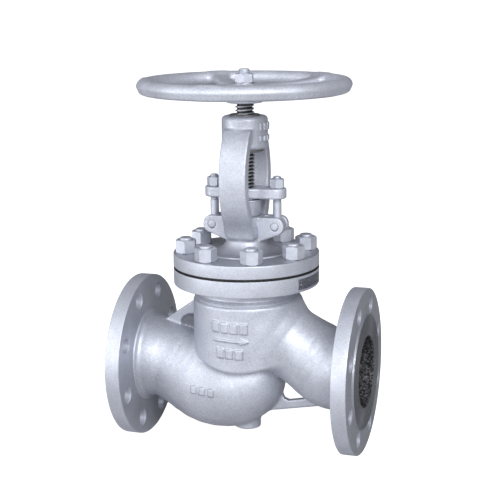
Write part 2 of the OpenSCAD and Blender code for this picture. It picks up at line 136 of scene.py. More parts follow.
# ---------------- meshes
def place(points):
    """Millimetres from the stem axis to metres in the frame."""
    return np.asarray(points, float) * MM + np.array([STEM_X, 0.0, 0.0])


def add_object(name, data):
    """A new object in the scene."""
    thing = bpy.data.objects.new(name, data)
    bpy.context.scene.collection.objects.link(thing)
    return thing


def make_object(name, points, faces, smooth_angle=None):
    """A mesh object from millimetre points; smooth_angle leaves sharper edges crisp."""
    mesh = bpy.data.meshes.new(name)
    mesh.from_pydata(place(points).tolist(), [], faces)
    mesh.validate()
    mesh.shade_smooth()
    if smooth_angle is not None:
        mesh.set_sharp_from_angle(angle=math.radians(smooth_angle))
    return add_object(name, mesh)


def finish_piece(piece, body, material, slot, *nodes):
    """Gives a piece its material and body, and hides the CAD nodes it stands for; slot is not used."""
    piece.data.materials.clear()
    piece.data.materials.append(material)
    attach(piece, body)
    if nodes:
        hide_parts(*nodes)


def add_piece(name, shape, body, material, slot, *nodes, angle=32):
    """Makes and finishes a piece from a shape, a pair of points and faces."""
    piece = make_object(name, *shape, angle)
    finish_piece(piece, body, material, slot, *nodes)
    return piece


def join(*shapes):
    """Several shapes as one."""
    points, faces, start = [], [], 0
    for shape_points, shape_faces in shapes:
        points.append(np.asarray(shape_points, float))
        faces.extend([[index + start for index in face] for face in shape_faces])
        start += len(shape_points)
    return np.concatenate(points), faces


def shift(shape, x=0.0, y=0.0, z=0.0):
    """A shape moved by x, y and z."""
    points, faces = shape
    return np.asarray(points) + np.array([x, y, z]), faces


def ring_faces(rings, count, closed=True, poles=()):
    """Faces between rings of count points each; a ring in poles is one point on the axis."""
    faces = []
    for i in range(rings if closed else rings - 1):
        j = (i + 1) % rings
        for k in range(count):
            m = (k + 1) % count
            if i in poles:
                faces.append([i * count, j * count + m, j * count + k])
            elif j in poles:
                faces.append([i * count + k, i * count + m, j * count])
            else:
                faces.append([i * count + k, i * count + m, j * count + m, j * count + k])
    return faces


def revolve(profile, steps=96, axis="z", centre=(0.0, 0.0, 0.0)):
    """Shape turned from [radius, height] corners; the outline is closed or ends on the axis."""
    radius, height = np.asarray(profile, float).T
    angles = np.arange(steps) * 2 * math.pi / steps
    x = radius[:, None] * np.cos(angles)
    y = radius[:, None] * np.sin(angles)
    z = np.repeat(height[:, None], steps, 1)
    points = np.stack([x, y, z], -1).reshape(-1, 3)
    poles = np.flatnonzero(radius == 0).tolist()
    faces = ring_faces(len(radius), steps, not poles, poles)
    return turn_axis(points, axis) + np.asarray(centre), faces


def prism(outline, bottom, top):
    """Upright block with a flat outline."""
    count = len(outline)
    points = [(x, y, z) for z in (bottom, top) for x, y in outline]
    ends = [list(range(count))[::-1], list(range(count, 2 * count))]
    return np.array(points), ring_faces(2, count, closed=False) + ends


def turn_axis(points, axis):
    """Lays a shape made along +Z along another axis."""
    turns = {
        "z": np.eye(3),
        "x": np.array([[0, 0, 1], [0, 1, 0], [-1, 0, 0]], float),
        "-x": np.array([[0, 0, -1], [0, 1, 0], [1, 0, 0]], float),
        "y": np.array([[1, 0, 0], [0, 0, 1], [0, -1, 0]], float),
    }
    return points @ turns[axis].T


def rounded(corners, steps=4):
    """An outline whose third value at a corner is its rounding radius."""
    outline = []
    count = len(corners)
    for i, corner in enumerate(corners):
        here = np.array(corner[:2], float)
        radius = corner[2] if len(corner) > 2 else 0.0
        if radius == 0:
            outline.append(here)
            continue
        before = np.array(corners[i - 1][:2], float) - here
        after = np.array(corners[(i + 1) % count][:2], float) - here
        before /= np.linalg.norm(before)
        after /= np.linalg.norm(after)
        half = math.acos(np.clip(before @ after, -1, 1)) / 2
        reach = radius / math.tan(half)
        middle = here + (before + after) / np.linalg.norm(before + after) * radius / math.sin(half)
        start = here + before * reach - middle
        end = here + after * reach - middle
        sweep = math.atan2(start[0] * end[1] - start[1] * end[0], start @ end)
        for step in range(steps + 1):
            turn = sweep * step / steps
            c, s = math.cos(turn), math.sin(turn)
            outline.append(middle + np.array([c * start[0] - s * start[1],
                                              s * start[0] + c * start[1]]))
    return outline


# ---------------- distance fields; p holds the x, y and z arrays of many points
def smooth_min(a, b, blend):
    """Union with a fillet."""
    mix = np.clip(0.5 + 0.5 * (b - a) / blend, 0, 1)
    return b * (1 - mix) + a * mix - blend * mix * (1 - mix)


def smooth_max(a, b, blend):
    """Intersection with a rounded edge."""
    return -smooth_min(-a, -b, blend)


def cone_rod(p, start, end, start_r, end_r, spread=0.0):
    """Round rod between two points with two radii; spread widens it across y."""
    y = np.maximum(np.abs(p[1]) - spread, 0.0)
    a, b = np.array(start, float), np.array(end, float)
    along = b - a
    t = ((p[0] - a[0]) * along[0] + (y - a[1]) * along[1] + (p[2] - a[2]) * along[2])
    t = np.clip(t / max(along @ along, 1e-9), 0, 1)
    dx = p[0] - a[0] - t * along[0]
    dy = y - a[1] - t * along[1]
    dz = p[2] - a[2] - t * along[2]
    return np.sqrt(dx * dx + dy * dy + dz * dz) - (start_r + t * (end_r - start_r))


def rod_chain(p, stations, spread=0.0):
    """Rods through [x, z, radius] stations in the plane y = 0."""
    total = None
    for a, b in zip(stations, stations[1:]):
        rod = cone_rod(p, (a[0], 0, a[1]), (b[0], 0, b[1]), a[2], b[2], spread)
        total = rod if total is None else np.minimum(total, rod)
    return total


def slab(value, low, high):
    """Distance to a range of values, negative inside it."""
    return np.maximum(low - value, value - high)


def rounded_pair(a, b, radius):
    """Intersection of two fields with an exact edge radius."""
    a, b = a + radius, b + radius
    return np.minimum(np.maximum(a, b), 0) + np.hypot(np.maximum(a, 0), np.maximum(b, 0)) - radius


def disc(p, axis, radius, low, high, edge):
    """Cylinder along an axis with rounded edges."""
    u, v = [p[i] for i in range(3) if i != axis]
    return rounded_pair(np.hypot(u, v) - radius, slab(p[axis], low, high), edge)


def plate(p, outline, half_t, edge):
    """Flat plate in the plane y = 0 with a closed outline of [x, z] corners."""
    inside = np.zeros(np.shape(p[0]), bool)
    nearest = np.full(np.shape(p[0]), 1e9)
    for a, b in zip(outline, outline[1:] + outline[:1]):
        along = np.subtract(b, a)
        x, z = p[0] - a[0], p[2] - a[1]
        t = np.clip((x * along[0] + z * along[1]) / (along @ along), 0, 1)
        nearest = np.minimum(nearest, np.hypot(x - t * along[0], z - t * along[1]))
        if along[1] != 0:
            inside ^= ((a[1] > p[2]) != (b[1] > p[2])) & (x < z * along[0] / along[1])
    return rounded_pair(np.where(inside, -nearest, nearest), np.abs(p[1]) - half_t, edge)


def mesh_field(field, low, high, cell):
    """Surface nets: points on the zero surface of field(p), and quads between them."""
    low, high = np.array(low, float), np.array(high, float)
    counts = np.ceil((high - low) / cell).astype(int) + 1
    axes = [(low[i] + cell * np.arange(counts[i])).astype(np.float32) for i in range(3)]
    values = np.empty(counts, np.float32)
    chunk = max(1, int(2e6 // (counts[1] * counts[2])))
    for start in range(0, counts[0], chunk):
        grid = np.meshgrid(axes[0][start:start + chunk], axes[1], axes[2], indexing="ij")
        values[start:start + chunk] = field(grid)
    inside = values < 0
    corners = [inside[i:counts[0] - 1 + i, j:counts[1] - 1 + j, k:counts[2] - 1 + k]
               for i in (0, 1) for j in (0, 1) for k in (0, 1)]
    total = sum(corner.astype(np.int8) for corner in corners)
    cells = np.argwhere((total > 0) & (total < 8))
    index = -np.ones(counts - 1, np.int64)
    index[tuple(cells.T)] = np.arange(len(cells))
    sums, hits = np.zeros((len(cells), 3)), np.zeros(len(cells))
    unit = np.eye(3, dtype=int)
    for axis in range(3):
        for u in (0, 1):
            for v in (0, 1):
                a = cells + np.insert((u, v), axis, 0)
                b = a + unit[axis]
                va, vb = values[tuple(a.T)], values[tuple(b.T)]
                cross = (va < 0) != (vb < 0)
                t = np.where(cross, va / np.where(cross, va - vb, 1), 0)
                point = a.astype(float)
                point[:, axis] += t
                sums[cross] += point[cross]
                hits[cross] += 1
    points = low + cell * sums / hits[:, None]
    faces = []
    for axis in range(3):
        u, v = (axis + 1) % 3, (axis + 2) % 3
        change = np.argwhere(np.diff(inside, axis=axis))
        keep = (change[:, u] > 0) & (change[:, v] > 0)
        keep &= (change[:, u] < counts[u] - 1) & (change[:, v] < counts[v] - 1)
        change = change[keep]
        ring = [change + du * unit[u] + dv * unit[v] for du, dv in ((-1, -1), (0, -1), (0, 0), (-1, 0))]
        quads = np.stack([index[tuple(at.T)] for at in ring], 1)
        outward = inside[tuple(change.T)]
        quads[~outward] = quads[~outward][:, ::-1]
        faces.append(quads)
    return settle(field, points, cell), np.concatenate(faces)


def settle(field, points, cell, rounds=3):
    """Moves points onto the zero surface along the field's slope."""
    step = cell * 0.1
    for _ in range(rounds):
        value = field(list(points.T))
        slope = np.empty_like(points)
        for i, offset in enumerate(step * np.eye(3)):
            rise = field(list((points + offset).T)) - field(list((points - offset).T))
            slope[:, i] = rise / (2 * step)
        length = np.maximum((slope ** 2).sum(1), 0.05)
        move = -(value / length)[:, None] * slope
        points = points + np.clip(move, -0.5 * cell, 0.5 * cell)
    return points


def cast_object(name, field, low, high, cell):
    """The surface of a distance field inside a box, as a smooth mesh object."""
    points, faces = mesh_field(field, low, high, cell)
    mesh = bpy.data.meshes.new(name)
    mesh.vertices.add(len(points))
    mesh.vertices.foreach_set("co", place(points).astype(np.float32).ravel())
    mesh.loops.add(faces.size)
    mesh.loops.foreach_set("vertex_index", faces.ravel().astype(np.int32))
    mesh.polygons.add(len(faces))
    mesh.polygons.foreach_set("loop_start", np.arange(0, faces.size, 4, dtype=np.int32))
    mesh.update(calc_edges=True)
    mesh.validate()
    mesh.shade_smooth()
    return add_object(name, mesh)


# ---------------- body casting
# Stations are [x, z, radius] on a chain of round rods; webs are [x, z] corners.
INLET_STATIONS = [(-152, 0, NECK_R), (-134, -1, 57.2), (-116, -5.2, 56.2), (-103, -10.2, 58),
                  (-84, -18.5, 60.5)]
BOWL_STATIONS = [(-60, -29, 64), (-40, -32.5, 65.2), (-20, -30.5, 64.2), (-4, -24, 59)]
OUTLET_STATIONS = [(36, 54, 56), (58, 39, 52), (80, 26.5, 51.5), (100, 15, 53.5), (120, 3, 56.5),
                   (140, 0, 58.5), (180, 0, NECK_R)]
INLET_PASSAGE = [(-200, 0, BORE_R + 0.4), (-150, 0, BORE_R + 0.4), (-128, -4, 45.5), (-100, -22, 42),
                 (-62, -42, 42), (-18, -42, 42), (2, -24, 40)]
OUTLET_PASSAGE = [(66, 34, 42), (100, 15, 44), (124, 2, 48), (138, 0, BORE_R + 0.4),
                  (200, 0, BORE_R + 0.4)]
CHAMBER_UNDERSIDE = dict(z=3.5, x=4.0, rise=0.0029)
PORT_R = 47.0
SEAT_BOSS_R = 64.0
BOTTOM_BOSS = dict(r=18.5, low=-97.0, high=-40.0)
UPPER_WEB = [(-124, 56), (-66, 96.8), (-60, 96), (-60, 30), (-112, 42)]
WEB_POCKET = [(-100, 54.5), (-96.8, 61), (-88.5, 65.5), (-50, 69), (-50, 14), (-98.6, 47.5)]
LOWER_WEB = [(10, -74), (128, -52.3), (128, -35), (100, -43.5), (81, -48), (62, -51.7), (56, -49.6),
             (52.2, -43), (50, -30), (20, -30)]
WEB_HALF_T = 4.5
POCKET_HALF_T = 1.6


def flowing(stations, steps=2):
    """More stations on a smooth curve through the given ones."""
    points = np.array([stations[0], *stations, stations[-1]], float)
    curve = []
    for a, b, c, d in zip(points, points[1:], points[2:], points[3:]):
        for t in np.arange(steps) / steps:
            curve.append(b + 0.5 * t * (c - a + t * (2 * a - 5 * b + 4 * c - d
                                                     + t * (3 * (b - c) + d - a))))
    return [*curve, points[-1]]


def chamber_outside(p):
    """Upright barrel; its dished underside rises away from the seat."""
    dish = CHAMBER_UNDERSIDE
    underside = dish["z"] + dish["rise"] * (p[0] - dish["x"]) ** 2 - p[2]
    upper_half = disc(p, 2, CHAMBER_R, -10, COLLAR_FOOT_Z, 5)
    lower_half = rounded_pair(np.hypot(p[0], p[1]) - CHAMBER_R, underside, 5.5)
    return np.where(p[2] > 50, upper_half, lower_half)


def body_webs(p):
    """Two flat webs; the upper one is thinned to a pocket beside the chamber."""
    pocket = plate(p, WEB_POCKET, 20, 0.5)
    pocket = smooth_max(pocket, POCKET_HALF_T - np.abs(p[1]), 1.5)
    upper = smooth_max(plate(p, UPPER_WEB, WEB_HALF_T, 1.5), -pocket, 1.5)
    return upper, plate(p, LOWER_WEB, WEB_HALF_T, 1.5)


def body_outside(p):
    """The casting without its turned flanges: necks, bowl, chamber, bottom boss and webs."""
    inlet_neck = cone_rod(p, (-190, 0, 0), (-150, 0, 0), NECK_R, NECK_R)
    lower = smooth_min(inlet_neck, rod_chain(p, flowing(INLET_STATIONS + BOWL_STATIONS)), 6)
    upper = smooth_min(chamber_outside(p), rod_chain(p, flowing(OUTLET_STATIONS)), 20)
    shell = smooth_min(lower, upper, 2.5)
    boss = disc(p, 2, BOTTOM_BOSS["r"], BOTTOM_BOSS["low"], BOTTOM_BOSS["high"], 2)
    shell = smooth_min(shell, boss, 5)
    for web in body_webs(p):
        shell = smooth_min(shell, web, 3)
    for side in (-1, 1):
        step = disc([p[0] * side, p[1], p[2]], 0, NECK_R + 8, FACE_X - FLANGE_T - 2.4, FACE_X - 6, 0.5)
        shell = smooth_min(shell, step, 8)
    return shell


def body_inside(p):
    """Flow path: inlet passage, port through the seat wall, chamber and outlet passage."""
    passage = rod_chain(p, INLET_PASSAGE)
    wide = rod_chain(p, INLET_PASSAGE[4:6], spread=10)
    port = disc(p, 2, PORT_R, -8, CHAMBER_FLOOR + 4, 1)
    lower = smooth_min(smooth_min(passage, wide, 12), port, 3)
    chamber = disc(p, 2, CHAMBER_BORE_R + 0.3, CHAMBER_FLOOR, 160, 8)
    seat_boss = disc(p, 2, SEAT_BOSS_R, -60, CHAMBER_FLOOR, 4)
    throat = smooth_max(rod_chain(p, OUTLET_PASSAGE), -seat_boss, 4)
    return smooth_min(lower, smooth_min(chamber, throat, 8), 4)


def body_field(p):
    """Body casting without its marks."""
    return smooth_max(body_outside(p), -body_inside(p), 1.5)


# ---------------- raised generic marks
FAR = 99.0
ARROW_AZIMUTH = -91.0
ARROW_Z = 52.0
ARROW_TILT = 0.035
ARROW_SHAFT = ((-5.0, 0.0), (20.0, 1.7))  # middle, half size
ARROW_TIP, ARROW_NECK = 27.0, 14.5
MARK_H = 2.3
MARK_HALF_W = 5.2
MARK_GAP = 3.4
MARK_ROWS = [(70.5, 7.5, 4), (33.5, 7.0, 3)]  # middle z, half height, count
BOWL_MARK = (4.2, 5.8)
HUB_MARK_ROWS = [(341.0, 5.0), (325.0, 3.8)]  # middle z, half height
HUB_MARKS = dict(count=4, first_deg=-29.0, step_deg=15.0, half_w=2.4, height=1.9)


def on_chamber(p, azimuth_deg):
    """Distance along the chamber's wall from an azimuth, and distance out of the wall."""
    azimuth = math.radians(azimuth_deg)
    along = p[0] * -math.sin(azimuth) + p[1] * math.cos(azimuth)
    facing = p[0] * math.cos(azimuth) + p[1] * math.sin(azimuth)
    out = np.hypot(p[0], p[1]) - CHAMBER_R
    return along, np.where(facing > 0, out, FAR)


def block(u, v, w, centre, half, height, edge=0.6):
    """Low pad: u and v lie in the wall, w points out of it."""
    qx = np.abs(u - centre[0]) - half[0] + edge
    qy = np.abs(v - centre[1]) - half[1] + edge
    qz = np.abs(w) - height + edge
    outside = np.sqrt(np.maximum(qx, 0) ** 2 + np.maximum(qy, 0) ** 2 + np.maximum(qz, 0) ** 2)
    return outside + np.minimum(np.maximum(np.maximum(qx, qy), qz), 0) - edge


def chamber_marks(p):
    """Flow arrow, with a row of plain cast pads above it and another below."""
    u, w = on_chamber(p, ARROW_AZIMUTH)
    v = p[2] - ARROW_Z + ARROW_TILT * u
    shaft = block(u, v, w, *ARROW_SHAFT, MARK_H)
    head = np.maximum(np.abs(v) * 2.4 + (u - ARROW_TIP), ARROW_NECK - u) * 0.38
    field = np.minimum(shaft, np.maximum(head, np.abs(w) - MARK_H))
    for row_z, half_h, count in MARK_ROWS:
        for i in range(count):
            middle = (i - (count - 1) / 2) * (2 * MARK_HALF_W + MARK_GAP) - 0.5
            pad = block(u, v, w, (middle, row_z - ARROW_Z), (MARK_HALF_W, half_h), MARK_H, 1.0)
            field = np.minimum(field, pad)
    return field


def bowl_marks(p):
    """Three plain pads on the bowl's front, each a little lower than the one before."""
    out = np.where(p[1] < 0, rod_chain(p, BOWL_STATIONS), FAR)
    middles = [(-60.0 + 13.0 * i, -27.0 - 1.2 * i) for i in range(3)]
    pads = [block(p[0], p[2], out, middle, BOWL_MARK, MARK_H + 0.5, 1.0) for middle in middles]
    return np.minimum.reduce(pads)


def marked_body_field(p):
    """Body casting with its marks, which stand MARK_H out of the wall."""
    marks = np.minimum(chamber_marks(p), bowl_marks(p))
    return np.minimum(body_field(p), smooth_max(marks, body_outside(p) - MARK_H, 0.6))


def hub_marks(p):
    """Two rows of small plain pads on the yoke hub's side."""
    around = HUB_R * np.arctan2(p[1], p[0])
    out = np.hypot(p[0], p[1]) - HUB_R
    field = np.full(np.shape(p[0]), FAR)
    for row_z, half_h in HUB_MARK_ROWS:
        for i in range(HUB_MARKS["count"]):
            middle = HUB_R * math.radians(HUB_MARKS["first_deg"] + HUB_MARKS["step_deg"] * i)
            half = (HUB_MARKS["half_w"], half_h)
            pad = block(around, p[2], out, (middle, row_z), half, HUB_MARKS["height"])
            field = np.minimum(field, pad)
    return field


# ---------------- bonnet casting
def ears(p):
    """Two pairs of ears for the pins of the eye bolts."""
    lug = cone_rod([np.abs(p[0]), p[1] * 0, p[2]], (EYE_X, 0, EYE_Z), (20, 0, 198), EAR_R, 18.0)
    lug = smooth_max(lug, p[2] - BOX_TOP - 0.5, 2)
    return rounded_pair(lug, slab(np.abs(p[1]), *EAR_Y), 1.4)


def yoke_arms(p):
    """Two curved arms, wider below, on rounded feet; they stand a little round from square."""
    x, y = np.abs(p[0]), np.abs(p[1])
    ring_r = np.hypot(y - ARM_CENTRE[0], p[2] - ARM_CENTRE[1])
    band = slab(ring_r, ARM_OUTER_R - ARM_T, ARM_OUTER_R)
    half_w = ARM_HALF_W + 1.4 * np.clip((240 - p[2]) / 45, 0, 1)
    arm = rounded_pair(band, np.abs(p[0] - YOKE_TWIST * p[1]) - half_w, 2.4)
    arm = smooth_max(arm, p[2] - ARM_TOP, 2)
    arm = smooth_max(arm, ARM_BOTTOM - p[2], 5)
    foot = rounded_pair(x - FOOT_HALF_X, y - FOOT_Y[1], 5)
    foot = rounded_pair(foot, slab(p[2], *FOOT_Z), 5)
    return smooth_min(arm, np.maximum(foot, FOOT_Y[0] - y), 9)


def bonnet_field(p):
    """Neck on its foot, ears, hub and yoke arms, with a stepped bore and the pin holes."""
    turned = np.hypot(p[0], p[1])
    neck = rounded_pair(turned - WAIST_R, p[2] - BOX_TOP, 1.5)
    shape = smooth_min(neck, disc(p, 2, 57, 150, BONNET_TOP + PAD_H - 0.4, 1), 24)
    shape = smooth_min(shape, ears(p), 1.2)
    shape = np.minimum(shape, disc(p, 2, HUB_R, HUB_BOTTOM, HUB_TOP, 5.5))
    shape = smooth_min(shape, yoke_arms(p), 3.5)
    lower_bore_r = np.where(p[2] > BOX_BOTTOM, BOX_R, NECK_BORE_R)
    bore_r = np.where(p[2] > 240, BUSH_HOLE_R, lower_bore_r)
    shape = np.maximum(shape, bore_r - turned)
    pin_holes = np.hypot(np.abs(p[0]) - EYE_X, p[2] - EYE_Z + 0.65) - PIN_R - 0.5
    shape = np.maximum(shape, -np.maximum(pin_holes, np.abs(p[1]) - 20))
    return np.minimum(shape, hub_marks(p))


# ---------------- gland and handwheel castings
GLAND_END_X, GLAND_END_R = 44.0, 15.0
GLAND_MIDDLE_R = 22.0


def gland_field(p):
    """Bar with round ends and a round middle, with holes for the stem and the eye bolts."""
    x, y = np.abs(p[0]), np.abs(p[1])
    ends = np.hypot(x - GLAND_END_X, y) - GLAND_END_R
    bar_part = np.maximum(x - GLAND_END_X, y - GLAND_END_R)
    middle = np.hypot(x, y) - GLAND_MIDDLE_R
    outline = smooth_min(np.minimum(ends, bar_part), middle, 10)
    shape = rounded_pair(outline, slab(p[2], GLAND_LOW.z, GLAND_HIGH.z), 2.2)
    holes = np.minimum(np.hypot(x - EYE_X, y) - 6.8, np.hypot(x, y) - STEM_R - 0.6)
    return smooth_max(shape, -holes, 0.8)


WHEEL_R = 138.0
WHEEL_TOP = 397.0
RIM_R = 10.4
RIM_Z = 396.5
FACET_TILT = math.radians(24)
FACET_DEPTH = 0.95
SPOKES = dict(count=5, first_deg=52.5, half_w=11.0, half_t=5.8, rise=7.0, rise_from=70.0)
SQUARE_HALF = 9.0


def spoke(along, across, z):
    """Flat bar, wider at both ends, that rises towards the rim."""
    start = SPOKES["rise_from"]
    rise = SPOKES["rise"] * np.clip((along - start) / (WHEEL_R - start), 0, 1) ** 1.5
    half_w = SPOKES["half_w"] + 3.0 * np.clip((along - 95) / 40, 0, 1) ** 2
    half_w = half_w + 2.5 * np.clip((45 - along) / 25, 0, 1)
    middle = z - (WHEEL_TOP - 6.0) - rise
    bar = rounded_pair(np.abs(across) - half_w, np.abs(middle) - SPOKES["half_t"], 4.6)
    return np.maximum(bar, slab(along, 12, WHEEL_R))


def handwheel_field(p):
    """Round rim with a faint facet, five spokes and a hub with a square hole."""
    turned = np.hypot(p[0], p[1])
    shape = np.hypot(turned - WHEEL_R, (p[2] - RIM_Z)) - RIM_R
    facet = (turned - WHEEL_R) * math.cos(FACET_TILT) - (p[2] - RIM_Z) * math.sin(FACET_TILT)
    shape = smooth_max(shape, facet - RIM_R + FACET_DEPTH, 0.5)
    for i in range(SPOKES["count"]):
        angle = math.radians(SPOKES["first_deg"] + i * 360 / SPOKES["count"])
        along = p[0] * math.cos(angle) + p[1] * math.sin(angle)
        across = p[1] * math.cos(angle) - p[0] * math.sin(angle)
        shape = smooth_min(shape, spoke(along, across, p[2]), 8)
    cone = 25.0 + 4.0 * np.clip((p[2] - WHEEL_LOW.z) / 12, 0, 1)
    hub = rounded_pair(turned - cone, slab(p[2], WHEEL_LOW.z + 0.1, WHEEL_TOP), 1.6)
    shape = smooth_min(shape, hub, 4)
    return np.maximum(shape, SQUARE_HALF + 0.1 - np.maximum(np.abs(p[0]), np.abs(p[1])))


# ---------------- turned pieces
def cut(piece, shape):
    """Takes a closed shape away from a piece."""
    cutter = make_object("cutter", *shape)
    step = piece.modifiers.new("cut", "BOOLEAN")
    step.object = cutter
    step.operation = "DIFFERENCE"
    step.solver = "EXACT"
    view = bpy.context.evaluated_depsgraph_get()
    mesh = bpy.data.meshes.new_from_object(piece.evaluated_get(view))
    piece.modifiers.clear()
    piece.data = mesh
    bpy.data.objects.remove(cutter)


def pipe_flange(name, axis):
    """Turned flange with a raised face, a chamfered bore and eight chamfered bolt holes."""
    back, front = FACE_X - FLANGE_T, FACE_X - RAISED_FACE_H
    profile = rounded([
        (BORE_R, back - 0.3), (FLANGE_R, back - 0.3, 1.3), (FLANGE_R, front, 1.3),
        (RAISED_FACE_R + 0.6, front, 0.4), (RAISED_FACE_R, FACE_X, 0.5),
        (BORE_R + 1.4, FACE_X, 0.4), (BORE_R, FACE_X - 1.4),
    ])
    piece = make_object(name, *revolve(profile, 160, axis))
    r, circle_r = PIPE_HOLES["r"], PIPE_HOLES["circle_r"]
    mouth_r = r + 3.8
    hole = [(0, back - 3), (mouth_r, back - 3), (r, back + 0.8), (r, front - 0.8),
            (mouth_r, front + 3), (0, front + 3)]
    half_pitch = math.pi / PIPE_HOLES["count"]
    cutters = []
    for i in range(PIPE_HOLES["count"]):
        angle = half_pitch + i * 2 * half_pitch
        centre = (0, circle_r * math.cos(angle), circle_r * math.sin(angle))
        cutters.append(revolve(hole, 40, axis, centre))
    cut(piece, join(*cutters))
    piece.data.shade_smooth()
    piece.data.set_sharp_from_angle(angle=math.radians(28))
    return piece


def joint_flange():
    """Body flange of the bonnet joint with the turned collar under it."""
    profile = rounded([
        (CHAMBER_BORE_R, COLLAR_FOOT_Z - 1.5), (73.4, COLLAR_FOOT_Z - 1.5), (73.4, 100.6, 0.5),
        (74.6, 101.4, 0.7), (COLLAR_R, 106.5, 5), (COLLAR_R, JOINT_BOTTOM, 4),
        (JOINT_R, JOINT_BOTTOM, 1.4), (JOINT_R, JOINT_TOP, 0.4), (CHAMBER_BORE_R, JOINT_TOP),
    ], 6)
    return revolve(profile, 192)


def bonnet_flange():
    """Round flange with a raised pad inside the ring of nuts."""
    bore_r, pad_top = STEM_R + 1, BONNET_TOP + PAD_H
    profile = rounded([
        (bore_r, BONNET_Z), (JOINT_R, BONNET_Z, 0.4), (JOINT_R, BONNET_TOP, 1.6),
        (PAD_R + 0.8, BONNET_TOP, 0.8), (PAD_R, pad_top, 0.8), (bore_r, pad_top),
    ], 5)
    return revolve(profile, 192)


def spigot():
    """Part of the bonnet that centres it in the chamber."""
    bore_r, top = 21.0, BONNET_Z + 0.5
    return revolve(rounded([
        (bore_r, 128), (32.0, 128, 1), (32.0, 137.8, 3), (65.6, 137.8, 1), (65.6, top), (bore_r, top),
    ]))


def hexagon_nut(af, height, bore_r, turn_deg, corner=0.5):
    """Nut with rounded corners and 30 degree chamfers on both faces, standing on z = 0."""
    flat, sixth, chamfer = af / 2, math.pi / 6, 0.9
    corner_d = (flat - corner) / math.cos(sixth)
    limit = math.atan2(corner * 0.5, corner_d + corner * math.cos(sixth))
    offsets = [part * sixth for part in (-0.96, -0.7, -0.45, -0.25, -0.12)]
    offsets += [-limit, -limit / 2, 0.0, limit / 2, limit] + [-offset for offset in offsets[::-1]]
    angles, radii = [], []
    for i in range(6):
        for offset in offsets:
            if abs(offset) <= limit:
                s = corner_d * math.sin(offset)
                radius = corner_d * math.cos(offset) + math.sqrt(max(corner * corner - s * s, 0))
            else:
                radius = flat / math.cos(sixth - abs(offset))
            angles.append(i * math.pi / 3 + offset + math.radians(turn_deg))
            radii.append(radius)
    angles, radii = np.array(angles), np.array(radii)
    face_r, thread_r = flat * 0.975, bore_r + chamfer
    drop = np.maximum(radii - face_r, 0) * math.tan(math.radians(30))
    rings = [(bore_r, chamfer), (thread_r, 0), (face_r, 0), (radii, drop), (radii, height - drop),
             (face_r, height), (thread_r, height), (bore_r, height - chamfer)]
    points = [np.stack([r * np.cos(angles), r * np.sin(angles), z + 0 * angles], -1) for r, z in rings]
    return np.concatenate(points), ring_faces(len(rings), len(angles))


def domed_rod(r, bottom, top, dome, steps=40):
    """Rod with a small chamfer below and a rounded end above."""
    profile = [(0, bottom), (r - 0.8, bottom), (r, bottom + 0.8), (r, top - dome)]
    for i in range(1, 6):
        angle = math.pi / 2 * i / 6
        profile.append((r * (1 - 0.28 * (1 - math.cos(angle))), top - dome + dome * math.sin(angle)))
    return revolve(profile + [(0, top)], steps)


def thread(crest_r, root_r, pitch, bottom, top, crest, flank, steps):
    """Right-hand single-start thread as one helical skin; crest and flank are parts of the pitch."""
    teeth = [(0.0, root_r), (0.5 - crest / 2 - flank, root_r), (0.5 - crest / 2, crest_r),
             (0.5 + crest / 2, crest_r), (0.5 + crest / 2 + flank, root_r)]
    turns = int(math.ceil((top - bottom) / pitch)) + 1
    rows = [(bottom + (i - 1) * pitch + part * pitch, r) for i in range(turns + 1) for part, r in teeth]
    heights, radii = np.array(rows).T
    angles = np.arange(steps) * 2 * math.pi / steps
    z = np.clip(heights[:, None] + pitch * angles[None, :] / (2 * math.pi), bottom, top)
    r = np.repeat(radii[:, None], steps, 1)
    points = np.stack([r * np.cos(angles), r * np.sin(angles), z], -1).reshape(-1, 3)
    faces = []
    for i in range(len(rows) - 1):
        for k in range(steps):
            m = (k + 1) % steps
            lift = len(teeth) if m == 0 else 0
            if i + 1 + lift < len(rows):
                faces.append([i * steps + k, (i + lift) * steps + m,
                              (i + 1 + lift) * steps + m, (i + 1) * steps + k])
    first = list(range(steps))
    last = [(len(rows) - 1) * steps + k for k in range(steps)]
    return points, faces + [first[::-1], last]


# ---------------- materials
class Nodes:
    """Short calls that build a node tree."""

    def __init__(self, tree):
        self.tree = tree

    def put(self, socket, value):
        """Puts a number, a vector, a colour or another node's output into a socket."""
        if isinstance(value, bpy.types.NodeSocket):
            self.tree.links.new(value, socket)
        elif socket.type == "RGBA" and isinstance(value, tuple):
            socket.default_value = (*value, 1.0)
        else:
            socket.default_value = value

    def add(self, kind, inputs=(), **settings):
        """A node with its settings; inputs pairs sockets with what goes into them."""
        node = self.tree.nodes.new(kind)
        for key, value in settings.items():
            setattr(node, key, value)
        for key, value in dict(inputs).items():
            self.put(node.inputs[key], value)
        return node


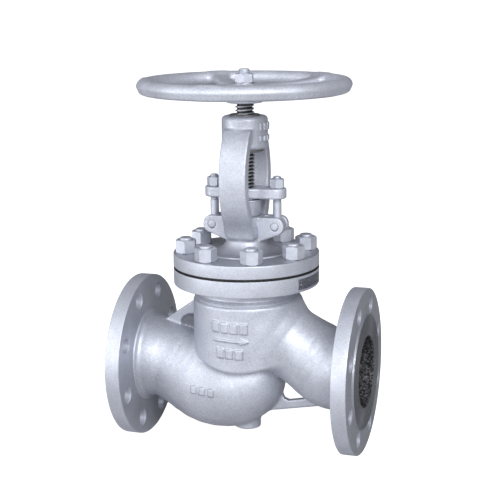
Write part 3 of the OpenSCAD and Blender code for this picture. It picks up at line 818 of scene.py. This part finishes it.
class Look(Nodes):
    """A Principled material built from a few short calls."""

    def __init__(self, name, rough, metal, specular=0.5):
        self.material = bpy.data.materials.new(name)
        self.material.use_nodes = True
        super().__init__(self.material.node_tree)
        self.shader = self.tree.nodes["Principled BSDF"]
        self.shader.inputs["Roughness"].default_value = rough
        self.shader.inputs["Metallic"].default_value = metal
        self.shader.inputs["Specular IOR Level"].default_value = specular
        self.place = self.add("ShaderNodeTexCoord").outputs["Object"]

    def noise(self, size_mm, detail, rough, squeeze=None):
        """Noise whose lumps are about size_mm wide; squeeze stretches them along the axes."""
        vector = self.place if squeeze is None else self.vector("MULTIPLY", self.place, squeeze)
        inputs = {"Vector": vector, "Scale": 1000.0 / size_mm, "Detail": detail, "Roughness": rough}
        return self.add("ShaderNodeTexNoise", inputs).outputs["Fac"]

    def vector(self, operation, *values):
        """Vector arithmetic."""
        return self.add("ShaderNodeVectorMath", enumerate(values), operation=operation).outputs["Vector"]

    def math(self, operation, *values):
        """Arithmetic with numbers."""
        return self.add("ShaderNodeMath", enumerate(values), operation=operation).outputs["Value"]

    def coordinates(self):
        """The place on the piece as separate X, Y and Z, in metres."""
        return self.add("ShaderNodeSeparateXYZ", {0: self.place}).outputs

    def distance_from_stem(self):
        """Distance from the stem's axis, in metres."""
        flat = self.vector("MULTIPLY_ADD", self.place, (1, 1, 0), (-STEM_X, 0, 0))
        return self.add("ShaderNodeVectorMath", {0: flat}, operation="LENGTH").outputs["Value"]

    def ramp(self, value, *stops):
        """Colour ramp between two stops; each is a place and a colour or grey."""
        node = self.add("ShaderNodeValToRGB", {"Fac": value})
        for element, (at, colour) in zip(node.color_ramp.elements, stops):
            element.position = at
            element.color = (*colour, 1.0) if isinstance(colour, tuple) else (colour, colour, colour, 1.0)
        return node.outputs["Color"]

    def mix(self, factor, a, b, blend="MIX"):
        """Mixes two colours, or multiplies them."""
        inputs = {"Factor": factor, "A": a, "B": b}
        return self.add("ShaderNodeMix", inputs, data_type="RGBA", blend_type=blend).outputs["Result"]

    def drive(self, name, value, *stops):
        """Leads an output to one of the shader's sockets, through a ramp if stops are given."""
        self.put(self.shader.inputs[name], self.ramp(value, *stops) if stops else value)

    def bump(self, *layers):
        """Bumps; each layer is a height and its depth in millimetres."""
        below = {}
        for height, depth_mm in layers:
            inputs = {"Strength": 1.0, "Distance": depth_mm * MM, "Height": height, **below}
            below = {"Normal": self.add("ShaderNodeBump", inputs).outputs["Normal"]}
        self.drive("Normal", below["Normal"])

    def finish(self, colour, roughness, *bumps):
        """The material, once its colour, roughness and bumps are driven."""
        self.drive("Base Color", *colour)
        self.drive("Roughness", *roughness)
        self.bump(*bumps)
        return self.material


SILVER = (0.524, 0.547, 0.622)


def shade(colour, factor):
    """A lighter or darker tone of a colour."""
    return tuple(min(channel * factor, 1.0) for channel in colour)


def tones(colour, low, high):
    """Two ramp stops with a darker and a lighter tone; low and high are a place and a factor."""
    return [(at, shade(colour, factor)) for at, factor in (low, high)]


def cast_paint(name="cast_paint", tone=1.0, grain=1.0, dust_and_shade=None, dulling=0.0):
    """Aluminium paint over a sand casting; below two given heights it fades to a darker tone, partly dirt
    and partly painted shade.
    """
    look = Look(name, rough=0.5, metal=0.65)
    base = shade(SILVER, tone)
    fine = look.noise(2.2, 2.0, 0.6)
    lumps = look.noise(7.0, 4.0, 0.55)
    waves = look.noise(45.0, 3.0, 0.5)
    blotch = look.ramp(waves, *tones(base, (0.34, 0.9), (0.66, 1.07)))
    paint = look.mix(0.65, blotch, look.ramp(fine, (0.3, 0.74), (0.7, 1.14)), "MULTIPLY")
    if dust_and_shade is not None:
        # Darker low down, round the bonnet's foot: dirt and painted shade.
        height = look.math("ADD", look.coordinates()["Z"], look.math("MULTIPLY", lumps, 0.012))
        clean_and_lit = look.ramp(height, (dust_and_shade[0], 0.0), (dust_and_shade[1], 1.0))
        paint = look.mix(clean_and_lit, shade(base, 0.68), paint)
    return look.finish((paint,), (lumps, (0.3, 0.44 + dulling), (0.7, 0.58 + dulling)),
                       (waves, 0.5), (lumps, 0.28 * grain), (fine, 0.12 * grain))


def turned_paint(name="turned_paint", tone=1.0):
    """The same paint over a turned face: faint tool marks and less grain."""
    look = Look(name, rough=0.46, metal=0.65)
    fine = look.noise(2.0, 2.0, 0.6)
    streaks = look.noise(1.6, 2.0, 0.5, squeeze=(1.0, 1.0, 0.15))
    waves = look.noise(30.0, 3.0, 0.5)
    blotch = look.ramp(waves, *tones(shade(SILVER, tone), (0.32, 0.93), (0.68, 1.05)))
    speck = look.ramp(fine, (0.3, 0.78), (0.7, 1.14))
    paint = look.mix(0.6, blotch, speck, "MULTIPLY")
    return look.finish((paint,), (streaks, (0.3, 0.4), (0.7, 0.54)),
                       (waves, 0.15), (fine, 0.09), (streaks, 0.03))


def machined_steel(name, colour, rough, groove_mm=None, groove_depth=0.05):
    """Bare turned steel with spread oil and, if asked, turning grooves round the pipe axis."""
    look = Look(name, rough=rough, metal=0.9)
    waves = look.noise(22.0, 4.0, 0.55)
    fine = look.noise(0.9, 2.0, 0.6)
    grain = look.noise(2.4, 3.0, 0.6)
    blotch = look.ramp(waves, *tones(colour, (0.3, 0.85), (0.7, 1.12)))
    speck = look.ramp(grain, (0.35, 0.76), (0.65, 1.14))
    bumps = [(waves, 0.1), (fine, 0.04)]
    if groove_mm is not None:
        at = look.coordinates()
        squares = [look.math("MULTIPLY", at[axis], at[axis]) for axis in ("Y", "Z")]
        radius = look.math("SQRT", look.math("ADD", *squares))
        ridge = look.math("SINE", look.math("MULTIPLY", radius, 2 * math.pi / (groove_mm * MM)))
        bumps = [(waves, 0.1), (ridge, groove_depth), (fine, 0.03)]
        look.shader.inputs["Anisotropic"].default_value = 0.85
        around = look.add("ShaderNodeTangent", direction_type="RADIAL", axis="X")
        look.drive("Tangent", around.outputs["Tangent"])
    steel = look.mix(1.0, blotch, speck, "MULTIPLY")
    return look.finish((steel,), (waves, (0.3, rough * 0.85), (0.7, rough * 1.25)), *bumps)


def fastener_paint(name="fastener_paint", tone=1.0):
    """Thin zinc paint on nuts and stud ends, rubbed brighter by the spanner."""
    look = Look(name, rough=0.45, metal=0.65)
    waves = look.noise(9.0, 3.0, 0.55)
    fine = look.noise(0.8, 2.0, 0.6)
    tint = tones(shade(SILVER, 1.05 * tone), (0.3, 0.9), (0.7, 1.08))
    return look.finish((waves, *tint), (fine, (0.3, 0.38), (0.7, 0.54)), (waves, 0.12), (fine, 0.06))


def oily_thread():
    """Steel of the stem's thread: rubbed crests and black grease in the roots."""
    look = Look("oily_thread", rough=0.38, metal=0.8)
    waves = look.noise(5.0, 3.0, 0.55)
    fine = look.noise(0.7, 2.0, 0.6)
    worn = look.ramp(waves, (0.3, (0.2, 0.205, 0.23)), (0.7, (0.42, 0.43, 0.47)))
    depth = look.math("DIVIDE", look.distance_from_stem(), STEM_R * MM)
    crest = look.ramp(depth, (0.84, 0.0), (0.95, 1.0))
    steel = look.mix(crest, (0.03, 0.03, 0.034), worn)
    return look.finish((steel,), (waves, (0.3, 0.3), (0.7, 0.5)), (fine, 0.05))


def oil_and_shade_bronze():
    """Bronze bush, dark with old oil and with painted shade from the handwheel above."""
    look = Look("bush_brass", rough=0.42, metal=0.7)
    waves = look.noise(8.0, 4.0, 0.6)
    fine = look.noise(0.9, 2.0, 0.6)
    return look.finish((waves, (0.4, (0.12, 0.12, 0.13)), (0.64, (0.2, 0.195, 0.185))),
                       (fine, (0.3, 0.36), (0.7, 0.52)), (waves, 0.1), (fine, 0.05))


def graphite():
    """Black paste and packing."""
    look = Look("gasket_graphite", rough=0.7, metal=0.1)
    fine = look.noise(0.8, 3.0, 0.6)
    return look.finish((fine, (0.3, 0.012), (0.7, 0.035)), (fine, (0.3, 0.6), (0.7, 0.85)), (fine, 0.1))


def plate_metal():
    """Blank plate of dull metal with faint rubbing."""
    look = Look("plate_metal", rough=0.45, metal=0.75)
    waves = look.noise(3.5, 3.0, 0.6, squeeze=(1.0, 1.0, 2.0))
    return look.finish((waves, (0.35, (0.1, 0.103, 0.12)), (0.65, (0.26, 0.27, 0.31))),
                       (waves, (0.3, 0.38), (0.7, 0.55)), (waves, 0.06))


def bore_casting():
    """Unpainted rough casting inside the passages."""
    look = Look("bore_casting", rough=0.6, metal=0.4)
    lumps = look.noise(3.0, 5.0, 0.72)
    fine = look.noise(1.0, 3.0, 0.6)
    return look.finish((lumps, (0.46, (0.006, 0.006, 0.008)), (0.66, (0.22, 0.22, 0.24))),
                       (lumps, (0.3, 0.45), (0.7, 0.75)), (lumps, 0.9), (fine, 0.4))


# ---------------- making the pieces
PAINT = cast_paint()
TURNED = turned_paint()
# Darker copy of the turned paint: painted shade on flat faces turned from the light.
SHADED_FLATS = turned_paint("shaded_flat_paint", 0.8)
# Still darker copy of the turned paint: painted shade on the bonnet flange's top and the pipe flanges'
# fronts.
DEEP_SHADE = turned_paint("deep_shade_paint", 0.62)
FASTENER = fastener_paint()
BOLT_END = fastener_paint("bolt_end_paint", 0.8)
FACE_STEEL = machined_steel("raised_face_steel", (0.165, 0.175, 0.2), 0.36, 0.9, 0.06)
STEEL = machined_steel("machined_steel", (0.5, 0.51, 0.55), 0.34)
THREAD = oily_thread()
# Dark bush: old oil and painted shade under the handwheel.
BRASS = oil_and_shade_bronze()
GRAPHITE = graphite()
PLATE = plate_metal()
BORE = bore_casting()
# Much darker paint for the web's pocket: painted shade for the recess.
SHADED_POCKET = cast_paint("shaded_pocket", 0.36, 1.4)
WHEEL_PAINT = cast_paint("wheel_paint", 1.05, dulling=0.06)
# Bonnet paint darkens low down round its foot: dirt and painted shade.
BONNET_PAINT = cast_paint("bonnet_paint", dust_and_shade=(0.172, 0.2))


def make_body():
    """Body casting with rough bores and a web pocket painted dark as painted shade, and its three turned
    flanges.
    """
    cell = 1.5
    piece = cast_object("body_casting", marked_body_field, (-169, -84, -102), (169, 84, 104), cell)
    finish_piece(piece, "valve_body", PAINT, "cast_paint", "body")
    for material in (BORE, SHADED_POCKET):
        piece.data.materials.append(material)
    centres = np.empty(len(piece.data.polygons) * 3, np.float32)
    piece.data.polygons.foreach_get("center", centres)
    p = list(((centres.reshape(-1, 3) - np.array([STEM_X, 0, 0])) / MM).T)
    inner = body_inside(p) < 1.2
    # Faces in the web's thin pocket take the dark paint, which is painted shade.
    pocket = (plate(p, WEB_POCKET, 20, 0.5) < 0) & (np.abs(p[1]) < POCKET_HALF_T + 0.5)
    piece.data.polygons.foreach_set("material_index", inner + 2 * (pocket & ~inner).astype(np.int32))
    for name, axis in (("inlet_flange", "-x"), ("outlet_flange", "x")):
        flange = pipe_flange(name, axis)
        finish_piece(flange, "valve_body", TURNED, "cast_paint")
        bare_faces(flange)
    lower_joint = add_piece("body_joint_flange", joint_flange(), "valve_body", TURNED, "cast_paint")
    repaint(lower_joint, GRAPHITE, lambda z, up: abs(z - JOINT_TOP) < 0.1 and abs(up) > 0.7)


def bare_faces(flange):
    """Grooved bare steel on the raised face and a rough bore; darker copies of the paint, as painted
    shade, on the flat faces and round the raised face.
    """
    grooved, rough, dull, shaded_front = 1, 2, 3, 4
    step = FACE_X - RAISED_FACE_H + 0.2
    for material in (FACE_STEEL, BORE, SHADED_FLATS, DEEP_SHADE):
        flange.data.materials.append(material)
    for polygon in flange.data.polygons:
        out = abs(polygon.center.x - STEM_X) / MM
        r = math.hypot(polygon.center.y, polygon.center.z) / MM
        facing = abs(polygon.normal.x)
        if r < BORE_R + 0.9:
            polygon.material_index = rough
        elif out > step and r < RAISED_FACE_R and facing > 0.72:
            polygon.material_index = grooved
        # Faces round and beside the raised face take the darkest copy: painted shade.
        elif out > step or out > FACE_X - 10 and facing > 0.9:
            polygon.material_index = shaded_front
        # Other flat faces take the darker copy: painted shade.
        elif facing > 0.9:
            polygon.material_index = dull


def repaint(piece, material, chosen):
    """One more material, for the faces whose height and upward normal pass chosen."""
    index = len(piece.data.materials)
    piece.data.materials.append(material)
    for polygon in piece.data.polygons:
        if chosen(polygon.center.z / MM, polygon.normal.z):
            polygon.material_index = index


def stud_circle(shape):
    """shape(i) for each stud i, moved to the stud's place, as one shape."""
    copies = []
    for i in range(STUDS["count"]):
        angle = math.radians(22.5 + 45 * i)
        at = (STUDS["circle_r"] * math.cos(angle), STUDS["circle_r"] * math.sin(angle))
        copies.append(shift(shape(i), *at))
    return join(*copies)


def make_bonnet():
    """Bonnet casting, its turned flange and spigot, and the studs and nuts of the joint."""
    cell = 1.0
    piece = cast_object("bonnet_casting", bonnet_field, (-64, -62, 152), (64, 62, 358), cell)
    finish_piece(piece, "valve_body", BONNET_PAINT, "cast_paint", "bonnet")
    upper_joint = add_piece("bonnet_flange", bonnet_flange(), "valve_body", TURNED, "cast_paint")
    repaint(upper_joint, GRAPHITE, lambda z, up: abs(z - BONNET_Z) < 0.1 and abs(up) > 0.7)
    # The top of the bonnet flange takes the darkest copy: painted shade.
    repaint(upper_joint, DEEP_SHADE, lambda z, up: z > BONNET_TOP - 0.3 and up > 0.8)
    add_piece("bonnet_spigot", spigot(), "valve_body", STEEL, "machined_steel")
    r, nut_top = STUDS["r"], BONNET_TOP + NUT_H
    nuts = stud_circle(lambda i: shift(hexagon_nut(NUT_AF, NUT_H, r, 17 * i * i + 11), z=BONNET_TOP))
    add_piece("bonnet_joint_nuts", nuts, "valve_body", FASTENER, "fastener_paint", "bonnet_nuts", angle=24)
    studs = stud_circle(lambda i: domed_rod(r, 124.2, nut_top + 3.4, 2.4))
    add_piece("bonnet_joint_studs", studs, "valve_body", BOLT_END, "machined_steel", "bonnet_studs",
              angle=40)


def eye_bolt():
    """Swinging bolt that stands over its pin: eye, plain shank, thread and domed end."""
    top = EYE_HIGH.z
    rod = domed_rod(5.3, EYE_Z + 8.5, top, 1.8, 32)
    turns = thread(5.95, 5.2, 1.75, 236, top - 1.6, 0.18, 0.36, 32)
    plain = revolve([(0, EYE_Z + 8), (6.0, EYE_Z + 8), (6.0, 235.4), (5.3, 236.2), (0, 236.2)], 32)
    hole_r, half_w = PIN_R + 0.1, 6.2
    eye = rounded([(hole_r, -half_w), (11.5, -half_w, 1.2), (11.5, half_w, 1.2), (hole_r, half_w)])
    return join(rod, turns, plain, revolve(eye, 48, "y", (0, 0, EYE_Z)))


def eye_pin():
    """Pin across a pair of ears."""
    r, half_l = PIN_R - 0.05, 15.5
    profile = rounded([(0, -half_l), (r, -half_l, 0.35), (r, half_l, 0.35), (0, half_l)])
    return revolve(profile, 40, "y", (0, 0, EYE_Z))


def make_gland():
    """Gland flange and follower, with an eye bolt, its pin and its nut on both sides."""
    piece = cast_object("gland_bridge", gland_field, (-61, -24, 239.5), (61, 24, 257), 0.8)
    finish_piece(piece, "gland", PAINT, "cast_paint", "gland_flange")
    inner, outer, top = STEM_R + 0.4, BOX_R - 0.3, GLAND_LOW.z
    sleeve = revolve(rounded([
        (inner, 206.8), (outer, 206.8, 0.6), (outer, 217.0), (21.0, 217.0, 0.6), (22.0, 235.8, 0.5),
        (23.0, 236.4, 0.5), (23.0, 238.7, 0.5), (16.5, 238.7), (16.5, top), (inner, top),
    ]))
    add_piece("gland_sleeve", sleeve, "gland", TURNED, "cast_paint", "gland_follower")
    nut_z = box_mm("gland_nut_left")[0].z
    for side, name, turn_deg in ((-1, "left", 12.0), (1, "right", 38.0)):
        x = side * EYE_X
        nut = shift(hexagon_nut(18.0, 12.5, 6.1, turn_deg, 0.4), x, 0, nut_z)
        add_piece("gland_nut_" + name + "_hex", nut, name + "_gland_nut", FASTENER, "fastener_paint",
                  "gland_nut_" + name, angle=24)
        add_piece("swing_bolt_" + name, shift(eye_bolt(), x), "valve_body", FASTENER, "machined_steel",
                  "eye_bolt_" + name)
        add_piece("swing_pin_" + name, shift(eye_pin(), x), "valve_body", PAINT, "machined_steel",
                  "eye_bolt_pin_" + name)


def make_yoke_bush():
    """Stem nut with a collar under the yoke hub."""
    bore_r, bottom, top = STEM_R + 0.05, HUB_BOTTOM - 3.5, box_mm("yoke_bush")[1].z
    bush = revolve(rounded([
        (bore_r, bottom), (26, bottom, 0.8), (26, HUB_BOTTOM), (21, HUB_BOTTOM), (21, top, 1.0),
        (STEM_R + 1.6, top, 0.3), (bore_r, top - 1.6),
    ]))
    add_piece("stem_nut_bush", bush, "valve_body", BRASS, "bush_brass", "yoke_bush")


def stem_square():
    """Square for the handwheel, with its four corners turned off."""
    outline = []
    for corner in range(4):
        for k in (-1, 0, 1):
            a = math.pi / 4 + corner * math.pi / 2 + k * 0.06
            reach = SQUARE_HALF * min(1 / max(abs(math.cos(a)), abs(math.sin(a))), 1.38)
            outline.append((reach * math.cos(a), reach * math.sin(a)))
    return prism(outline, SHOULDER_Z, WHEEL_TOP)


def make_stem():
    """Stem with its back-seat collar, grooved foot, lifting thread, square and top thread."""
    collar, core_r, top = 92.5, 10.6, STEM_HIGH.z
    lower = revolve(rounded([
        (0, STEM_LOW.z), (STEM_R, STEM_LOW.z, 1), (STEM_R, 38), (10, 38), (10, 43), (STEM_R, 43),
        (STEM_R, collar - 9), (19, collar - 6, 0.6), (19, collar - 5, 0.6), (STEM_R, collar),
        (STEM_R, THREAD_BOTTOM - 2.5), (core_r, THREAD_BOTTOM), (core_r, SHOULDER_Z), (0, SHOULDER_Z),
    ]), 72)
    screw = thread(12.9, 10.5, THREAD_LEAD, THREAD_BOTTOM, SHOULDER_Z - 2, 0.34, 0.09, 64)
    shoulder = revolve(rounded([
        (0, SHOULDER_Z - 3.5), (STEM_R, SHOULDER_Z - 3.5, 0.6), (STEM_R, SHOULDER_Z + 0.5, 0.8),
        (0, SHOULDER_Z + 0.5),
    ]), 64)
    end = domed_rod(7.2, WHEEL_TOP - 0.5, top, 2.0, 36)
    top_thread = thread(7.95, 7.0, 2.0, WHEEL_TOP, top - 1.8, 0.2, 0.34, 40)
    stem = join(lower, screw, shoulder, stem_square(), end, top_thread)
    piece = add_piece("stem_screw", stem, "spindle", THREAD, "stem_steel", "stem")
    repaint(piece, FASTENER, lambda z, up: z > WHEEL_TOP)


def make_handwheel():
    """Handwheel with its washer and nut."""
    cell = 1.3
    edge = WHEEL_R + RIM_R + 3
    piece = cast_object("handwheel_casting", handwheel_field, (-edge, -edge, 370), (edge, edge, 409), cell)
    finish_piece(piece, "spindle", WHEEL_PAINT, "cast_paint", "handwheel")
    washer_top = WHEEL_TOP + 3
    washer = rounded([(8.5, WHEEL_TOP), (15, WHEEL_TOP, 0.5), (15, washer_top, 0.7), (8.5, washer_top)])
    add_piece("wheel_washer", revolve(washer, 64), "spindle", STEEL, "machined_steel", "handwheel_washer")
    nut = shift(hexagon_nut(24.0, 12.5, 8.05, 41.0), z=washer_top)
    add_piece("wheel_nut", nut, "spindle", FASTENER, "fastener_paint", "handwheel_nut", angle=24)


def make_nameplate():
    """Blank curved plate with a raised border and three rows of plain bars."""
    sweep, middle = math.radians(32), math.radians(-13)
    bottom, half_h = 124.3, 7.3
    half_arc = sweep / 2 * JOINT_R
    columns, rows = 96, 40
    u, v = np.meshgrid(np.linspace(-1, 1, columns), np.linspace(-1, 1, rows), indexing="ij")
    edge = np.minimum((1 - np.abs(u)) * half_arc, (1 - np.abs(v)) * half_h)
    lift = 0.9 + 0.3 * np.clip(edge / 0.5, 0, 1) - 0.35 * np.clip((edge - 1.0) / 0.4, 0, 1)
    for row in (-0.45, 0.05, 0.5):
        for start, end in ((-0.72, -0.2), (-0.08, 0.32), (0.44, 0.74)):
            bar = np.minimum((u - start) * half_arc, (end - u) * half_arc)
            bar = np.minimum(bar, 1.15 - np.abs(v - row) * half_h)
            lift += 0.3 * np.clip(bar / 0.35, 0, 1)
    angle = middle + u * sweep / 2
    z = bottom + (v + 1) * half_h
    skins = [np.stack([r * np.cos(angle), r * np.sin(angle), z], -1).reshape(-1, 3)
             for r in (JOINT_R + lift, JOINT_R - 0.3)]
    index = np.arange(columns * rows).reshape(columns, rows)
    faces, inner = [], index.size
    for a in index[:-1, :-1].ravel().tolist():
        faces.append([a, a + rows, a + rows + 1, a + 1])
        faces.append([inner + a, inner + a + 1, inner + a + rows + 1, inner + a + rows])
    rim = np.concatenate([index[:, 0], index[-1, 1:], index[-2::-1, -1], index[0, -2:0:-1]]).tolist()
    for a, b in zip(rim, rim[1:] + rim[:1]):
        faces.append([b, a, inner + a, inner + b])
    add_piece("blank_plate", (np.concatenate(skins), faces), "valve_body", PLATE, "plate_metal",
              "nameplate", angle=40)


def dress_cad_nodes():
    """Inner pieces keep their CAD meshes and get a real material."""
    black = ("body_gasket", "packing_rings")
    steel = ("seat_ring", "back_seat_bush", "packing_washer", "bush_lock_screw", "stem_split_ring",
             "disc", "disc_nut", "disc_thrust_pad", "nameplate_rivets")
    looks = {**dict.fromkeys(black, GRAPHITE), **dict.fromkeys(steel, STEEL)}
    for name, material in looks.items():
        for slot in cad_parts[name].material_slots:
            slot.material = material


make_body()
make_bonnet()
make_gland()
make_yoke_bush()
make_stem()
make_handwheel()
make_nameplate()
dress_cad_nodes()


# ---------------- camera, floor and lights
AZIMUTH = math.radians(17.778)
PITCH = math.radians(12.379)
ROLL = math.radians(-0.642)
EYE = Vector((0.6885, -1.5843, 0.5301))
LENS_MM = 86.85
SENSOR_MM = 36.0

FLOOR_SIZE = 60.0
FLOOR_GLOW = 0.96
ROOM_COLOUR = (0.95, 0.96, 1.0)
ROOM_FRONT, ROOM_BACK = 0.72, 0.12
MIDDLE_Z = 0.15
LIGHT_DISTANCE = 2.6
LIGHTS = [
    # name, azimuth from -Y towards +X, elevation, side in metres, watts
    ("left", -70, 22, 1.4, 4),
    ("left_low", -55, 2, 1.2, 20),
    ("key_left", -35, 30, 1.2, 9.5),
    ("front_left_low", -15, 2, 1.0, 10),
    ("front", 17, 26, 1.0, 19),
    ("key_right", 42, 26, 1.2, 36),
]


def make_camera():
    """Camera by azimuth from -Y, pitch down and roll."""
    data = bpy.data.cameras.new("camera")
    data.lens = LENS_MM
    data.sensor_width = SENSOR_MM
    data.clip_start = 0.05
    camera = add_object("camera", data)
    aim = Matrix.Translation(EYE)
    for angle, axis in ((AZIMUTH, "Z"), (math.pi / 2 - PITCH, "X"), (ROLL, "Z")):
        aim = aim @ Matrix.Rotation(angle, 4, axis)
    camera.matrix_world = aim
    bpy.context.scene.camera = camera


def make_floor():
    """Pale floor, lifted to white for the camera so that only a soft shadow shows on it."""
    mesh = bpy.data.meshes.new("floor")
    corners = ((-1, -1), (1, -1), (1, 1), (-1, 1))
    points = [(FLOOR_SIZE * x, FLOOR_SIZE * y, CAD_BOUNDS[0][2]) for x, y in corners]
    mesh.from_pydata(points, [], [(0, 1, 2, 3)])
    floor = add_object("floor", mesh)
    look = Look("floor_paint", rough=0.9, metal=0.0, specular=0.1)
    look.drive("Base Color", look.noise(400.0, 2.0, 0.55), (0.3, 0.48), (0.7, 0.5))
    seen = look.add("ShaderNodeLightPath").outputs["Is Camera Ray"]
    look.drive("Emission Color", (1, 1, 1))
    look.drive("Emission Strength", look.math("MULTIPLY", seen, FLOOR_GLOW))
    floor.data.materials.append(look.material)


def area_light(name, azimuth, elevation, side, power):
    """Square soft box that faces the middle of the valve."""
    azimuth, elevation = math.radians(azimuth), math.radians(elevation)
    way = Vector((math.cos(elevation) * math.sin(azimuth), -math.cos(elevation) * math.cos(azimuth),
                  math.sin(elevation)))
    data = bpy.data.lights.new(name, "AREA")
    data.size = side
    data.energy = power
    lamp = add_object(name, data)
    lamp.location = Vector((STEM_X, 0, MIDDLE_Z)) + LIGHT_DISTANCE * way
    lamp.rotation_euler = (-way).to_track_quat("-Z", "Y").to_euler()


def make_world():
    """Room that is brighter in front of the valve than behind it; the camera sees plain white."""
    world = bpy.data.worlds.new("studio")
    world.use_nodes = True
    room = Nodes(world.node_tree)
    way = room.add("ShaderNodeTexCoord").outputs["Generated"]
    depth = room.add("ShaderNodeSeparateXYZ", {0: way}).outputs["Y"]
    fade = room.add("ShaderNodeMapRange", {"Value": depth, "From Min": -0.6, "From Max": 1.0,
                                           "To Min": ROOM_FRONT, "To Max": ROOM_BACK})
    light = room.tree.nodes["Background"]
    room.put(light.inputs["Color"], ROOM_COLOUR)
    room.put(light.inputs["Strength"], fade.outputs["Result"])
    backdrop = room.add("ShaderNodeBackground", {"Color": (1, 1, 1)})
    seen = room.add("ShaderNodeLightPath").outputs["Is Camera Ray"]
    pick = room.add("ShaderNodeMixShader", {0: seen, 1: light.outputs[0], 2: backdrop.outputs[0]})
    room.put(room.tree.nodes["World Output"].inputs["Surface"], pick.outputs[0])
    bpy.context.scene.world = world
    bpy.context.scene.view_settings.view_transform = "Standard"


make_camera()
make_floor()
for light in LIGHTS:
    area_light(*light)
make_world()
